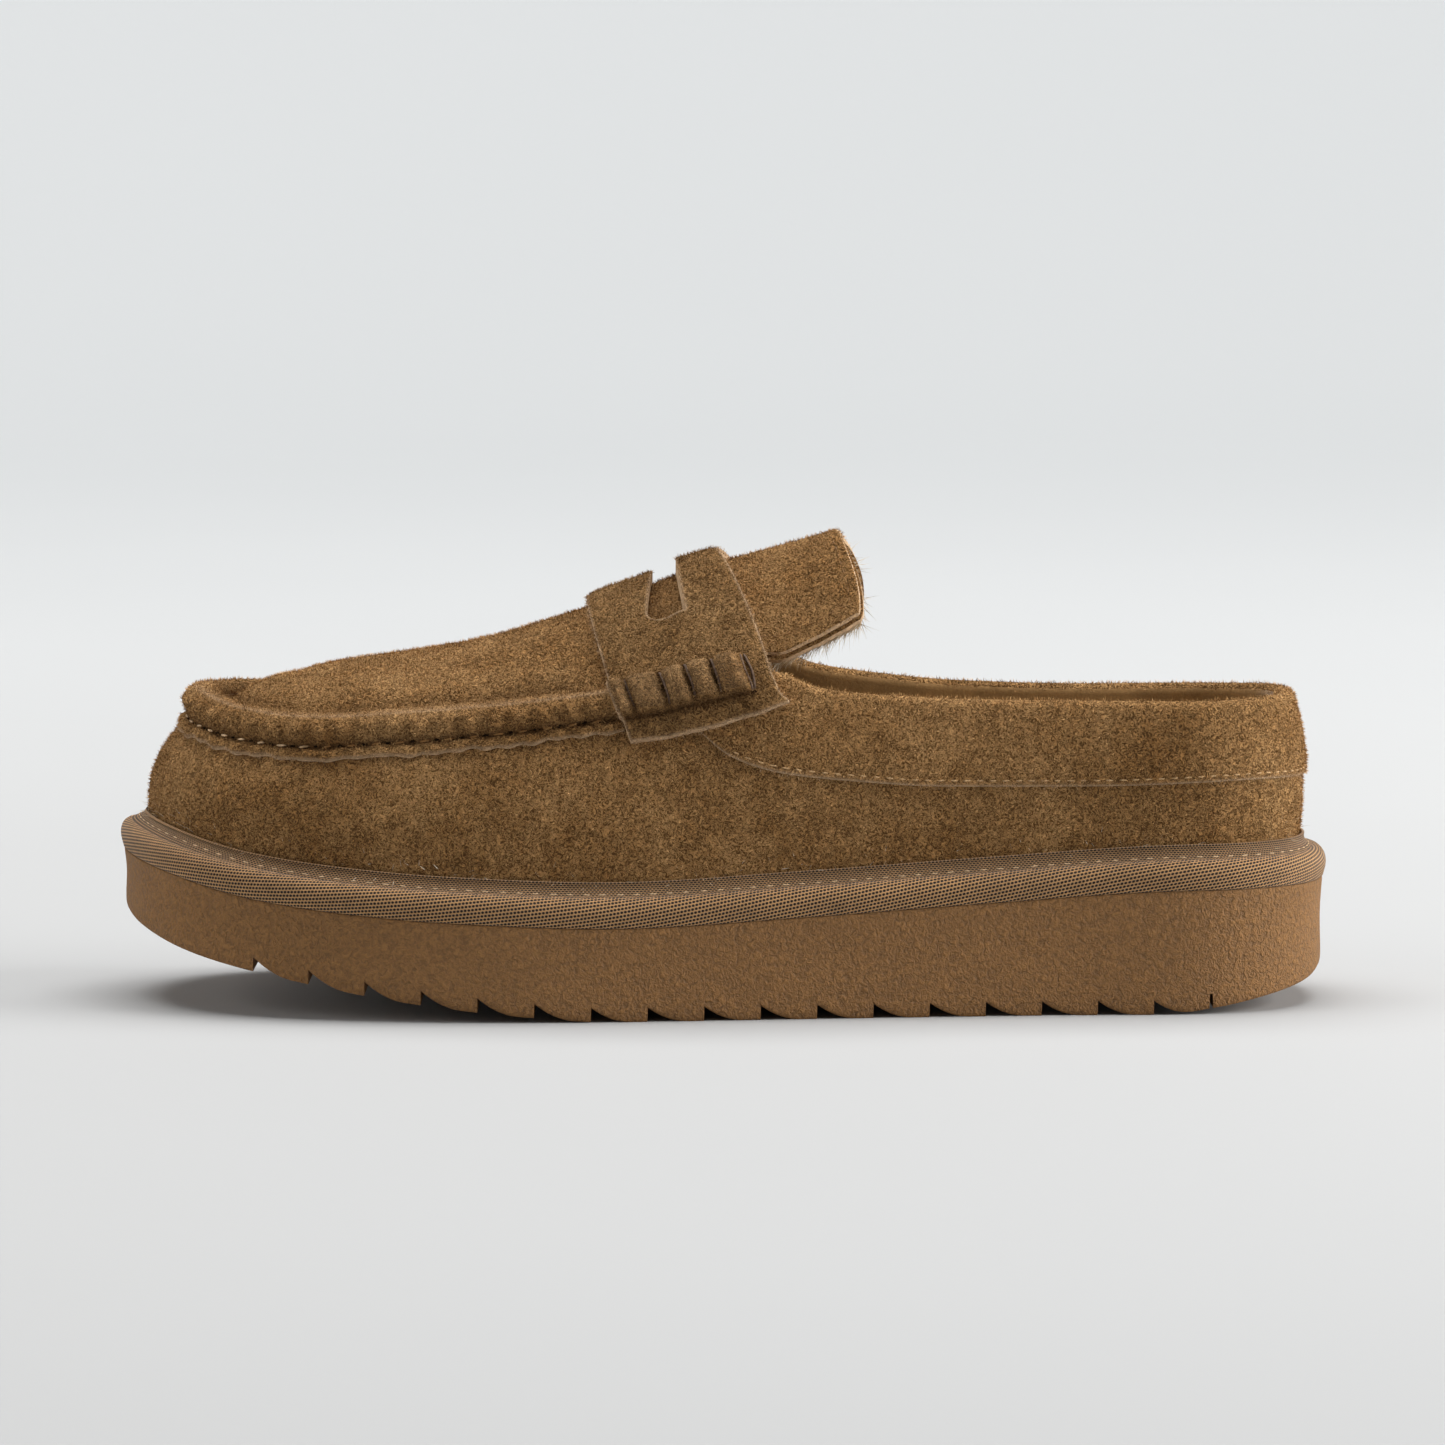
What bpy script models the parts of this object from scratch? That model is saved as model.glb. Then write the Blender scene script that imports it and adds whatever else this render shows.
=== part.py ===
"""A left loafer slipper: a hollow suede upper with a hand-sewn apron, a saddle strap with rolled ends, a low
closed heel, and a wrapped platform on a ripple sole.

Metres, +Z up, toe towards +X, the wearer's outer side towards +Y. The origin is on the floor, under the middle
of the footprint."""

import math

import bmesh
import bpy
import numpy as np

# Main sizes of the shoe
LENGTH = 0.2738  # over the wrapped platform, heel to toe
BALL_WIDTH = 0.101  # over the wrapped platform, at the ball of the foot
INSTEP_HEIGHT = 0.1062  # floor to the middle of the tongue's end
COLLAR_HEIGHT = 0.0701  # floor to the collar at the side
SEAT_GAP = 0.0003  # between pieces that touch

# Sole
OUTSOLE_HEIGHT = 0.0207  # floor to the outsole's top edge at the ball
HEEL_LIFT = 0.0070  # how much higher that edge is at the heel
TOE_SPRING = 0.0131  # and at the toe
TOE_ROCKER = 0.0213  # how far the tread has left the floor at the toe
HEEL_ROCKER = 0.0092
LUG_PITCH = 0.0125
LUG_COUNT = 17
LUG_DEPTH = 0.0032
LUG_RAMP = 0.7  # share of a lug that its curved front takes
FIRST_CUT = 0.0328  # toe end to the first cut in the tread
LUG_STEP = 0.0001  # lean of a lug's rear face
SLIT_WIDTH = 0.0008  # the last cut, under the heel
SOLE_WAIST = 0.0005  # hollow in the outsole's side
BEAD = 0.0008  # how far the wrapped platform stands out over the outsole
WRAP_HEIGHT = 0.0066  # thickness of the wrapped platform
RAND_HEIGHT = 0.0022  # the wrapping tape's edge, sewn up against the upper
RAND_THICKNESS = 0.0009
INSOLE_THICKNESS = 0.0042
INSOLE_CLEARANCE = 0.0010
INSOLE_ROUND = 0.0012  # how far its top edge is rounded in

# Upper
WALL = 0.0030  # suede with its lining
FOOT_INSET_HEEL = 0.0064  # platform's edge to the foot of the upper
FOOT_INSET_TOE = 0.0069
BELLY = 0.0012  # how far the side of the upper swells
WALL_CURL = 2.4  # how late the side leans in as it rises
CROWN_CURL = 2.1  # how round the apron is across
NOSE_SETBACK = 0.0240  # apron's toe end to where its middle line starts
THROAT = 0.0060  # how far ahead of the middle of the shoe the apron ends, under the strap
STATIONS = 72  # sections round the upper
WALL_ROWS = 6
APRON_ROWS = 5

# Rolled seam round the apron
ROLL_RISE = 0.0040
FLANGE_THICKNESS = 0.0013
CREASE_THICKNESS = 0.0006

# Band round the collar
BAND_THICKNESS = 0.0009
BAND_TOP = 0.0008  # collar's edge to the band's upper edge
BAND_START = 0.0080  # how far ahead of the middle of the shoe the band starts, under the strap

# Saddle strap and its rolled ends
STRAP_FRONT = 0.0300  # the strap's front edge on top, ahead of the middle of the shoe
STRAP_WIDTH = 0.0296
STRAP_FLARE_FRONT = 0.0090  # how far the edges sweep back on their way down
STRAP_FLARE_REAR = 0.0150
STRAP_THICKNESS = 0.0025
STRAP_STAND = 0.0009  # how far the strap stands off the tongue behind the throat
STAND_RUN = 0.0060  # it gets there over this length
STRAP_TAIL = 0.0095  # the strap's end below the seam
SEAM_SHARE = 0.81  # share of the strap from its middle to the seam
SLOT_HALF = 0.0230
SLOT_MIDDLE = 0.0052  # the slot's width at the middle of the strap
SLOT_END = 0.0088
SLOT_REAR = 0.0106  # the slot's rear edge, ahead of the middle of the shoe
SLOT_BOW = 0.0024  # how far that edge bows back to its ends
SLOT_ROUND = 0.14  # share of the slot's half length that the front edge's round corners take
ROLL_ENDS = (0, 0.09, 0.355, 0.555, 0.76, 1)  # where threads bind each end into rolls, of its length
END_ROLL_RISE = 0.0028
END_ROLL_WIDTH = 0.0078
END_ROLL_DROP = 0.0014  # how far below the seam their middle is
END_ROLL_START = 0.0006  # strap's front edge to the first roll
END_ROLL_LENGTH = 0.0290

# Tongue
TONGUE_END = 0.0262  # how far behind the middle of the shoe its end is
TONGUE_SLANT = 0.0066  # how much further back its corners are
TONGUE_CORNER = 0.0050
TONGUE_THICKNESS = 0.0042
TONGUE_EASE = 0.0012  # its edges to the inside of the collar
TONGUE_LIFT = 0.0068  # how far its end corners stand above the collar's own curve

# Outline of the wrapped platform: along, as a share of LENGTH from the heel; outer and inner side, of BALL_WIDTH
OUTLINE = (
    (0.000, 0.000, 0.000),
    (0.020, 0.208, -0.208),
    (0.085, 0.342, -0.332),
    (0.185, 0.371, -0.356),
    (0.300, 0.396, -0.361),
    (0.420, 0.434, -0.371),
    (0.540, 0.475, -0.406),
    (0.660, 0.505, -0.460),
    (0.770, 0.490, -0.490),
    (0.870, 0.421, -0.460),
    (0.945, 0.292, -0.361),
    (0.985, 0.129, -0.213),
    (1.000, -0.040, -0.040),
)

# Topline, the apron seam in front and the collar behind: along; lean in from the foot of the upper on the outer
# and the inner side, of BALL_WIDTH; height of the outer and the inner side, of COLLAR_HEIGHT
TOPLINE = (
    (0.00, 0.028, 0.028, 1.000, 1.000),
    (0.03, 0.027, 0.027, 0.996, 0.994),
    (0.10, 0.014, 0.014, 0.992, 0.984),
    (0.20, 0.016, 0.011, 0.995, 0.980),
    (0.30, 0.025, 0.011, 1.003, 0.990),
    (0.38, 0.040, 0.015, 1.022, 1.020),
    (0.42, 0.045, 0.020, 1.045, 1.046),
    (0.445, 0.050, 0.025, 1.086, 1.080),
    (0.465, 0.059, 0.030, 1.099, 1.096),
    (0.50, 0.069, 0.040, 1.072, 1.072),
    (0.55, 0.079, 0.054, 1.032, 1.032),
    (0.62, 0.094, 0.074, 0.990, 0.990),
    (0.70, 0.109, 0.089, 0.952, 0.954),
    (0.77, 0.109, 0.096, 0.930, 0.937),
    (0.86, 0.106, 0.102, 0.910, 0.936),
    (0.93, 0.119, 0.119, 0.924, 0.951),
    (1.00, 0.133, 0.133, 0.960, 0.960),
)

# Middle line of apron and tongue: along; height, of INSTEP_HEIGHT
MIDDLE_LINE = (
    (0.370, 1.028),
    (0.404, 1.000),
    (0.452, 0.964),
    (0.500, 0.930),
    (0.537, 0.901),
    (0.574, 0.866),
    (0.614, 0.830),
    (0.651, 0.799),
    (0.684, 0.773),
    (0.717, 0.754),
    (0.768, 0.733),
    (0.818, 0.714),
    (0.849, 0.698),
)

# Top edge of the outsole: along; share of HEEL_LIFT; share of TOE_SPRING
SOLE_EDGE = (
    (0.000, 1.00, 0.00),
    (0.110, 1.00, 0.00),
    (0.274, 0.67, 0.00),
    (0.437, 0.27, 0.00),
    (0.583, 0.00, 0.00),
    (0.724, 0.00, 0.11),
    (0.800, 0.00, 0.23),
    (0.880, 0.00, 0.43),
    (0.954, 0.00, 0.77),
    (1.000, 0.00, 1.00),
)

# Tread line: along; share of HEEL_ROCKER; share of TOE_ROCKER
TREAD = (
    (0.000, 1.00, 0.00),
    (0.020, 0.65, 0.00),
    (0.060, 0.36, 0.00),
    (0.100, 0.15, 0.00),
    (0.147, 0.00, 0.00),
    (0.590, 0.00, 0.00),
    (0.650, 0.00, 0.05),
    (0.750, 0.00, 0.195),
    (0.850, 0.00, 0.41),
    (0.930, 0.00, 0.62),
    (0.980, 0.00, 0.84),
    (1.000, 0.00, 1.00),
)

# Band round the collar, its lower edge: along; height, of COLLAR_HEIGHT
BAND_EDGE = (
    (0.000, 0.732),
    (0.060, 0.738),
    (0.200, 0.724),
    (0.320, 0.728),
    (0.400, 0.750),
    (0.440, 0.768),
    (0.465, 0.789),
    (0.491, 0.830),
    (0.518, 0.917),
    (0.540, 0.990),
)

# Tongue: along; its edge's height over the collar's own curve, of TONGUE_LIFT; half width, of the throat's
TONGUE_EDGE = (
    (0.360, 1.00, 0.99),
    (0.384, 1.00, 0.99),
    (0.404, 0.62, 0.99),
    (0.426, 0.10, 0.99),
    (0.456, -0.55, 1.00),
    (0.500, -0.36, 1.00),
    (0.530, -0.12, 1.00),
)

# Rolled seam across: distance from the seam, up onto the apron, and the part's thickness over the suede there
ROLL_SECTION = (
    (-0.0075, FLANGE_THICKNESS),
    (-0.0053, FLANGE_THICKNESS),
    (-0.0048, CREASE_THICKNESS),
    (-0.0038, 0.65 * ROLL_RISE),
    (-0.0018, 0.97 * ROLL_RISE),
    (0.0006, 0.93 * ROLL_RISE),
    (0.0027, 0.20 * ROLL_RISE),
)

# Side of the wrapped platform: inset from its outline, and height as a share of WRAP_HEIGHT
WRAP_SECTION = (
    (BEAD, 0.00),
    (0.30 * BEAD, 0.20),
    (0.00, 0.46),
    (0.30 * BEAD, 0.74),
    (1.40 * BEAD, 0.95),
    (2.80 * BEAD, 1.00),
)

# Side of the outsole: share of SOLE_WAIST inwards, and level from the tread to its top edge
SOLE_SECTION = ((0.60, 0.00), (0.70, 0.10), (1.00, 0.50), (0.00, 1.00))

SLICES = 20  # cross slices that let a flat slab follow the rocker


def smooth_through(places, values):
    """A curve through the points that never overshoots them: cubic pieces with harmonic mean slopes."""
    places = np.array(places, float)
    values = np.array(values, float)
    steps = np.diff(places)
    rises = np.diff(values) / steps
    slopes = np.zeros(len(places))
    slopes[0] = rises[0]
    slopes[-1] = rises[-1]
    for i in range(1, len(places) - 1):
        if rises[i - 1] * rises[i] > 0:
            slopes[i] = 2 * rises[i - 1] * rises[i] / (rises[i - 1] + rises[i])

    def at(place):
        place = min(max(place, places[0]), places[-1])
        i = min(int(np.searchsorted(places, place, side="right")) - 1, len(steps) - 1)
        t = (place - places[i]) / steps[i]
        near = values[i] * (1 + 2 * t) * (1 - t) ** 2 + slopes[i] * steps[i] * t * (1 - t) ** 2
        far = values[i + 1] * t * t * (3 - 2 * t) + slopes[i + 1] * steps[i] * t * t * (t - 1)
        return near + far

    return at


def column(table, number):
    """One column of a table as a smooth curve over its first column."""
    return smooth_through([row[0] for row in table], [row[number] for row in table])


def closed_spline(points, per_span):
    """Points on the closed cubic spline through these points, and where each given point lies among them."""
    points = np.array(points, float)
    count = len(points)
    following = np.roll(points, -1, axis=0)
    spans = np.linalg.norm(following - points, axis=1)
    before = np.roll(spans, 1)
    bends = np.zeros((count, count))
    for i in range(count):
        bends[i, i - 1] += before[i]
        bends[i, i] += 2 * (before[i] + spans[i])
        bends[i, (i + 1) % count] += spans[i]
    slope = (following - points) / spans[:, None]
    second = np.linalg.solve(bends, 6 * (slope - np.roll(slope, 1, axis=0)))
    found = []
    for i in range(count):
        j = (i + 1) % count
        for t in np.arange(per_span) / per_span:
            a, b, h = 1 - t, t, spans[i]
            bend = ((a**3 - a) * second[i] + (b**3 - b) * second[j]) * h * h / 6
            found.append(a * points[i] + b * points[j] + bend)
    return np.array(found), [i * per_span for i in range(count)]


def trace_outline():
    """The platform's outline, centred on the origin, by station: 0 at the heel, up the outer side to 0.5 at the
    toe, and back down the inner side to 1. Stations u and 1 - u lie across from each other."""
    outer = [(a * LENGTH, o * BALL_WIDTH) for a, o, _ in OUTLINE]
    inner = [(a * LENGTH, i * BALL_WIDTH) for a, _, i in OUTLINE[1:-1]]
    points, knots = closed_spline(outer + inner[::-1], 60)
    toe = knots[len(outer) - 1]
    points -= (points.max(axis=0) + points.min(axis=0)) / 2
    outer_side = points[: toe + 1]
    inner_side = np.vstack([points[toe:], points[:1]])[::-1]
    outer_side[:, 0] = np.maximum.accumulate(outer_side[:, 0])
    inner_side[:, 0] = np.maximum.accumulate(inner_side[:, 0])

    def lengths(side):
        run = np.concatenate([[0], np.cumsum(np.linalg.norm(np.diff(side, axis=0), axis=1))])
        return run / run[-1]

    u = np.linspace(0, 1, 1201)
    outer_run, inner_run = lengths(outer_side), lengths(inner_side)
    outer_x = np.interp(u, outer_run, outer_side[:, 0])
    outer_y = np.interp(u, outer_run, outer_side[:, 1])
    level = np.interp(outer_x, inner_side[:, 0], inner_run)
    tips = np.clip(np.minimum(u, 1 - u) / 0.12, 0, 1)
    run = u + (level - u) * tips * tips * (3 - 2 * tips)
    inner_x = np.interp(run, inner_run, inner_side[:, 0])
    inner_y = np.interp(run, inner_run, inner_side[:, 1])
    x = np.concatenate([outer_x, inner_x[::-1][1:]])
    y = np.concatenate([outer_y, inner_y[::-1][1:]])
    return np.concatenate([u / 2, 0.5 + u[1:] / 2]), x, y


STATION, OUTLINE_X, OUTLINE_Y = trace_outline()


def outline(u):
    """Point of the outline at a station, and its direction outwards."""
    u %= 1.0
    step = 0.004
    here = [np.interp(u, STATION, c) for c in (OUTLINE_X, OUTLINE_Y)]
    ahead = [np.interp((u + step) % 1.0, STATION, c) for c in (OUTLINE_X, OUTLINE_Y)]
    behind = [np.interp((u - step) % 1.0, STATION, c) for c in (OUTLINE_X, OUTLINE_Y)]
    along_x, along_y = ahead[0] - behind[0], ahead[1] - behind[1]
    size = math.hypot(along_x, along_y)
    return here, (-along_y / size, along_x / size)


def edge(u, inset):
    """Plan point this far inside the outline."""
    (x, y), (out_x, out_y) = outline(u)
    return x - inset * out_x, y - inset * out_y


def share(x):
    """Place along the shoe, 0 at the heel and 1 at the toe."""
    return x / LENGTH + 0.5


HEEL_SHARE, TOE_SHARE = column(SOLE_EDGE, 1), column(SOLE_EDGE, 2)
HEEL_TREAD, TOE_TREAD = column(TREAD, 1), column(TREAD, 2)
LEAN = {1: column(TOPLINE, 1), -1: column(TOPLINE, 2)}
TOP_HEIGHT = {1: column(TOPLINE, 3), -1: column(TOPLINE, 4)}
MIDDLE_HEIGHT = column(MIDDLE_LINE, 1)
LAP_HEIGHT = column(BAND_EDGE, 1)
TONGUE_RISE, TONGUE_WIDTH = column(TONGUE_EDGE, 1), column(TONGUE_EDGE, 2)


def sole_edge(x):
    """Height of the outsole's top edge."""
    return OUTSOLE_HEIGHT + HEEL_LIFT * HEEL_SHARE(share(x)) + TOE_SPRING * TOE_SHARE(share(x))


def tread(x):
    """Height of the tread line."""
    return HEEL_ROCKER * HEEL_TREAD(share(x)) + TOE_ROCKER * TOE_TREAD(share(x))


def bed(x):
    """Height at which the upper and the insole stand on the platform."""
    return sole_edge(x) + SEAT_GAP + WRAP_HEIGHT + SEAT_GAP


def foot_inset(x):
    return FOOT_INSET_HEEL + (FOOT_INSET_TOE - FOOT_INSET_HEEL) * share(x)


def topline(u):
    """Point of the topline at a station."""
    (x, _), _ = outline(u)
    side = 1 if u % 1.0 <= 0.5 else -1
    x_top, y_top = edge(u, foot_inset(x) + LEAN[side](share(x)) * BALL_WIDTH)
    return np.array([x_top, y_top, TOP_HEIGHT[side](share(x)) * COLLAR_HEIGHT])


SIDE_STATIONS = np.linspace(0, 0.5, 251)
TOP_OUTER = np.array([topline(u) for u in SIDE_STATIONS])
TOP_INNER = np.array([topline(1 - u) for u in SIDE_STATIONS])
TOP_MIDDLE = (TOP_OUTER + TOP_INNER) / 2
SEAM_TO_MIDDLE = 0.45 * BALL_WIDTH
NOSE_X = TOP_MIDDLE[-1, 0] - NOSE_SETBACK


def station(x):
    """Station on the outer side whose section crosses the middle line at x. Its other end is 1 minus it."""
    return float(np.interp(x, TOP_MIDDLE[:, 0], SIDE_STATIONS))


def middle(x):
    """Point of the apron's middle line."""
    x = min(x, NOSE_X)
    y = np.interp(x, TOP_MIDDLE[:, 0], TOP_MIDDLE[:, 1])
    return np.array([x, y, MIDDLE_HEIGHT(share(x)) * INSTEP_HEIGHT])


def skin(u, rise):
    """Outside of the upper. Rise is 0 at its foot, 1 at the topline and 2 at the apron's middle line."""
    if rise <= 1:
        (x, _), _ = outline(u)
        top = topline(u)
        lean = LEAN[1 if u % 1.0 <= 0.5 else -1](share(x)) * BALL_WIDTH
        inset = foot_inset(x)
        swell = BELLY * math.sin(math.pi * rise)
        foot_x, _ = edge(u, inset)
        foot = bed(foot_x)
        x, y = edge(u, inset + lean * max(rise, 0) ** WALL_CURL - swell)
        return np.array([x, y, foot + (top[2] - foot) * rise])
    top = topline(u)
    across = u % 1.0
    x = float(np.interp(min(across, 1 - across), SIDE_STATIONS, TOP_MIDDLE[:, 0]))
    centre = middle(x)
    t = min(rise - 1, 1.0)
    point = top + (centre - top) * t
    point[2] = top[2] + (centre[2] - top[2]) * (1 - (1 - t) ** CROWN_CURL)
    return point


def normal(place, a, b, step_a, step_b):
    """Unit normal of a surface by small steps; up or outwards for the surfaces used here."""
    along = place(a + step_a, b) - place(a - step_a, b)
    across = place(a, b + step_b) - place(a, b - step_b)
    cross = np.cross(across, along)
    return cross / max(np.linalg.norm(cross), 1e-12)


def lifted(u, rise, lift):
    """Point at this height over the outside of the upper."""
    rise = min(rise, 1.985)
    out = normal(skin, u, max(rise, 0.01), 0.002, 0.01)
    return skin(u, rise) + out * lift


def near_seam(u, distance):
    """Rise at this distance from the topline, measured up the apron or, below zero, down the side."""
    top = topline(u)
    reach = skin(u, 2) - top if distance > 0 else top - skin(u, 0)
    return 1 + distance / np.linalg.norm(reach)


def finish(name, bm, colour=(0.150, 0.078, 0.031), roughness=0.95):
    """Turns a bmesh into a named object with its own material, brown suede unless it says otherwise."""
    bmesh.ops.recalc_face_normals(bm, faces=bm.faces[:])
    if bm.calc_volume(signed=True) < 0:
        bmesh.ops.reverse_faces(bm, faces=bm.faces[:])
    mesh = bpy.data.meshes.new(name)
    bm.to_mesh(mesh)
    bm.free()
    mesh.shade_smooth()
    mesh.set_sharp_from_angle(angle=math.radians(40))
    material = bpy.data.materials.new(name)
    material.use_nodes = True
    surface = material.node_tree.nodes["Principled BSDF"]
    surface.inputs["Base Color"].default_value = (*colour, 1)
    surface.inputs["Roughness"].default_value = roughness
    surface.inputs["Metallic"].default_value = 0
    mesh.materials.append(material)
    obj = bpy.data.objects.new(name, mesh)
    bpy.context.scene.collection.objects.link(obj)
    return obj


def settle(obj, kind, **settings):
    """Adds a modifier, and keeps its result as the object's own mesh."""
    modifier = obj.modifiers.new(kind.lower(), kind)
    for setting, value in settings.items():
        setattr(modifier, setting, value)
    result = obj.evaluated_get(bpy.context.evaluated_depsgraph_get())
    mesh = bpy.data.meshes.new_from_object(result)
    obj.modifiers.clear()
    obj.data = mesh


def bent_sheet(bm, columns, rows, place):
    """A grid bent to shape. place(a, b) gives a corner, with a and b from 0 to 1 along its columns and rows."""
    for corner in bmesh.ops.create_grid(bm, x_segments=columns, y_segments=rows, size=0.5)["verts"]:
        corner.co = place(corner.co.x + 0.5, corner.co.y + 0.5)


def bent_slab(columns, rows, place, ring=False):
    """A slab bent to shape. place(a, b, top) gives a corner: a and b as for a sheet, and top is 0 on the slab's
    inside and 1 on its outside. A ring's first and last columns meet."""
    bm = bmesh.new()
    flat = bmesh.ops.create_grid(bm, x_segments=columns, y_segments=rows, size=0.5)["verts"]
    bmesh.ops.translate(bm, vec=(0.5, 0.5, 0), verts=flat)
    raised = bmesh.ops.extrude_face_region(bm, geom=bm.faces[:])["geom"]
    bmesh.ops.translate(bm, vec=(0, 0, 1), verts=[v for v in raised if isinstance(v, bmesh.types.BMVert)])
    if ring:
        ends = [f for f in bm.faces if abs(abs(f.calc_center_median().x - 0.5) - 0.5) < 1e-6]
        bmesh.ops.delete(bm, geom=ends, context="FACES")
    for corner in bm.verts:
        corner.co = place(*corner.co)
    if ring:
        bmesh.ops.remove_doubles(bm, verts=bm.verts, dist=1e-6)
    return bm


def sole_layer(section, slices, height_at):
    """A solid whose plan is the shoe's outline. section is a table of (inset, level) up its side, slices are the
    places where it is cut across so that it can bend, and height_at(x, level) is where each corner ends up."""
    bm = bmesh.new()
    steps = len(section) - 1

    def place(a, b):
        inset, level = section[round(b * steps)]
        return (*edge(a, inset), level)

    bent_sheet(bm, STATIONS, steps, place)
    bmesh.ops.remove_doubles(bm, verts=bm.verts, dist=1e-6)
    bmesh.ops.holes_fill(bm, edges=[e for e in bm.edges if e.is_boundary], sides=0)
    for x in slices:
        everything = bm.verts[:] + bm.edges[:] + bm.faces[:]
        bmesh.ops.bisect_plane(bm, geom=everything, dist=1e-6, plane_co=(x, 0, 0), plane_no=(1, 0, 0))
    for corner in bm.verts:
        corner.co.z = height_at(corner.co.x, corner.co.z)
    return bm


def cut_places():
    """Where the tread is cut, from the toe back."""
    return [LENGTH / 2 - FIRST_CUT - i * LUG_PITCH for i in range(LUG_COUNT + 1)]


def cut_height(x):
    """How far the tread's cuts reach up at x. A lug curves down from the cut in front of it, runs flat, and ends in
    a step."""
    cuts = cut_places()
    if x > cuts[0] - LUG_STEP / 2 or x < cuts[-1] - SLIT_WIDTH:
        return 0.0
    behind = (cuts[0] - LUG_STEP / 2 - x) / LUG_PITCH
    along = behind - math.floor(behind)
    if behind >= LUG_COUNT:
        return LUG_DEPTH
    return LUG_DEPTH * max(0.0, 1 - along / LUG_RAMP) ** 2


def make_outsole():
    slices = []
    for x in cut_places()[:-1]:
        slices += [x, x - LUG_STEP]
        slices += [x - LUG_PITCH * LUG_RAMP * part for part in (0.4, 1.0)]
    last = cut_places()[-1]
    slices += [last, last - LUG_STEP, last - SLIT_WIDTH + LUG_STEP, last - SLIT_WIDTH]
    slices += [side * LENGTH * part for side in (1, -1) for part in (0.425, 0.455, 0.478, 0.492)]
    first_level = SOLE_SECTION[1][1]

    def height_at(x, level):
        low, high = tread(x) + 1.15 * LUG_DEPTH, sole_edge(x)
        if level >= first_level:
            return low + (high - low) * (level - first_level) / (1 - first_level)
        return tread(x) + cut_height(x) + (low - tread(x) - cut_height(x)) * level / first_level

    section = [(BEAD + waist * SOLE_WAIST, level) for waist, level in SOLE_SECTION]
    return finish("outsole", sole_layer(section, slices, height_at), (0.165, 0.085, 0.036), 0.7)


def platform_slices():
    return np.linspace(-LENGTH / 2, LENGTH / 2, SLICES + 1)[1:-1]


def make_midsole():
    def height_at(x, level):
        return sole_edge(x) + SEAT_GAP + level * WRAP_HEIGHT

    return finish("midsole", sole_layer(WRAP_SECTION, platform_slices(), height_at), (0.190, 0.110, 0.050), 0.9)


def make_insole():
    inset = FOOT_INSET_TOE + WALL + INSOLE_CLEARANCE
    section = ((inset, 0), (inset, 0.7), (inset + INSOLE_ROUND, 1))

    def height_at(x, level):
        return bed(x) + level * INSOLE_THICKNESS

    return finish("insole", sole_layer(section, platform_slices(), height_at), (0.330, 0.235, 0.140), 1.0)


def make_rand():
    def place(a, b, top):
        foot = skin(a, 0)[2]
        height = np.linalg.norm(topline(a) - skin(a, 0))
        point = lifted(a, b * RAND_HEIGHT / height, SEAT_GAP + top * RAND_THICKNESS)
        if b == 0:
            point[2] = foot
        return point

    return finish("rand", bent_slab(STATIONS, 1, place, ring=True), (0.150, 0.085, 0.038), 0.9)


def make_upper():
    """The side wall all round and the apron in front, as one skin given its thickness inwards."""
    throat = station(THROAT)
    rear = round(STATIONS * throat)
    limits = (0, rear / STATIONS, 1 - rear / STATIONS, 1)

    def spaced(a):
        return float(np.interp(a, limits, (0, throat, 1 - throat, 1)))

    bm = bmesh.new()
    bent_sheet(bm, STATIONS, WALL_ROWS, lambda a, b: skin(spaced(a), b))
    front = limits[2] - limits[1]
    bent_sheet(bm, STATIONS - 2 * rear, APRON_ROWS, lambda a, b: skin(spaced(limits[1] + front * a), 1 + b))
    bmesh.ops.remove_doubles(bm, verts=bm.verts, dist=1e-5)
    obj = finish("upper", bm)
    settle(obj, "SOLIDIFY", thickness=WALL, offset=-1, use_even_offset=True)
    return obj


def ease(t):
    """A soft step from 0 to 1."""
    t = min(max(t, 0), 1)
    return t * t * (3 - 2 * t)


def strap_front(across):
    """Front edge of the strap, at this share of the way from its middle to its tail."""
    return STRAP_FRONT - STRAP_FLARE_FRONT * across**2.4


def strap_rear(across):
    return STRAP_FRONT - STRAP_WIDTH - STRAP_FLARE_REAR * across**1.5


def seam_place(distance):
    """Share of the strap's length, middle to tail, at this distance from the seam."""
    if distance < 0:
        return SEAM_SHARE - (1 - SEAM_SHARE) * distance / STRAP_TAIL
    return SEAM_SHARE * (1 - distance / SEAM_TO_MIDDLE)


def on_strap(across, along):
    """The upper's skin under a place on the strap: across from -1 to 1, along from 0 at its rear edge to 1."""
    part = abs(across)
    x = strap_rear(part) + (strap_front(part) - strap_rear(part)) * along
    u = station(x) if across > 0 else 1 - station(x)
    if part <= SEAM_SHARE:
        return skin(u, 2 - part / SEAM_SHARE)
    return skin(u, near_seam(u, -STRAP_TAIL * (part - SEAM_SHARE) / (1 - SEAM_SHARE)))


def strap_stand(across, along):
    """How far the strap's underside is from that skin: it clears the tongue in the middle, and the collar band at
    its tails."""
    part = abs(across)
    x = strap_rear(part) + (strap_front(part) - strap_rear(part)) * along
    behind = ease((BAND_START + STAND_RUN - x) / STAND_RUN)
    tail = ease(1 + (part - SEAM_SHARE) / (SEAM_SHARE / 3))
    over_tongue = SEAT_GAP + behind * STRAP_STAND
    over_band = SEAT_GAP + behind * (BAND_THICKNESS + 2 * SEAT_GAP)
    return over_tongue + (over_band - over_tongue) * tail


def over_strap(across, along, lift):
    out = normal(on_strap, across, min(max(along, 0.02), 0.98), 0.03, 0.02)
    return on_strap(across, along) + out * (strap_stand(across, along) + lift)


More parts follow.
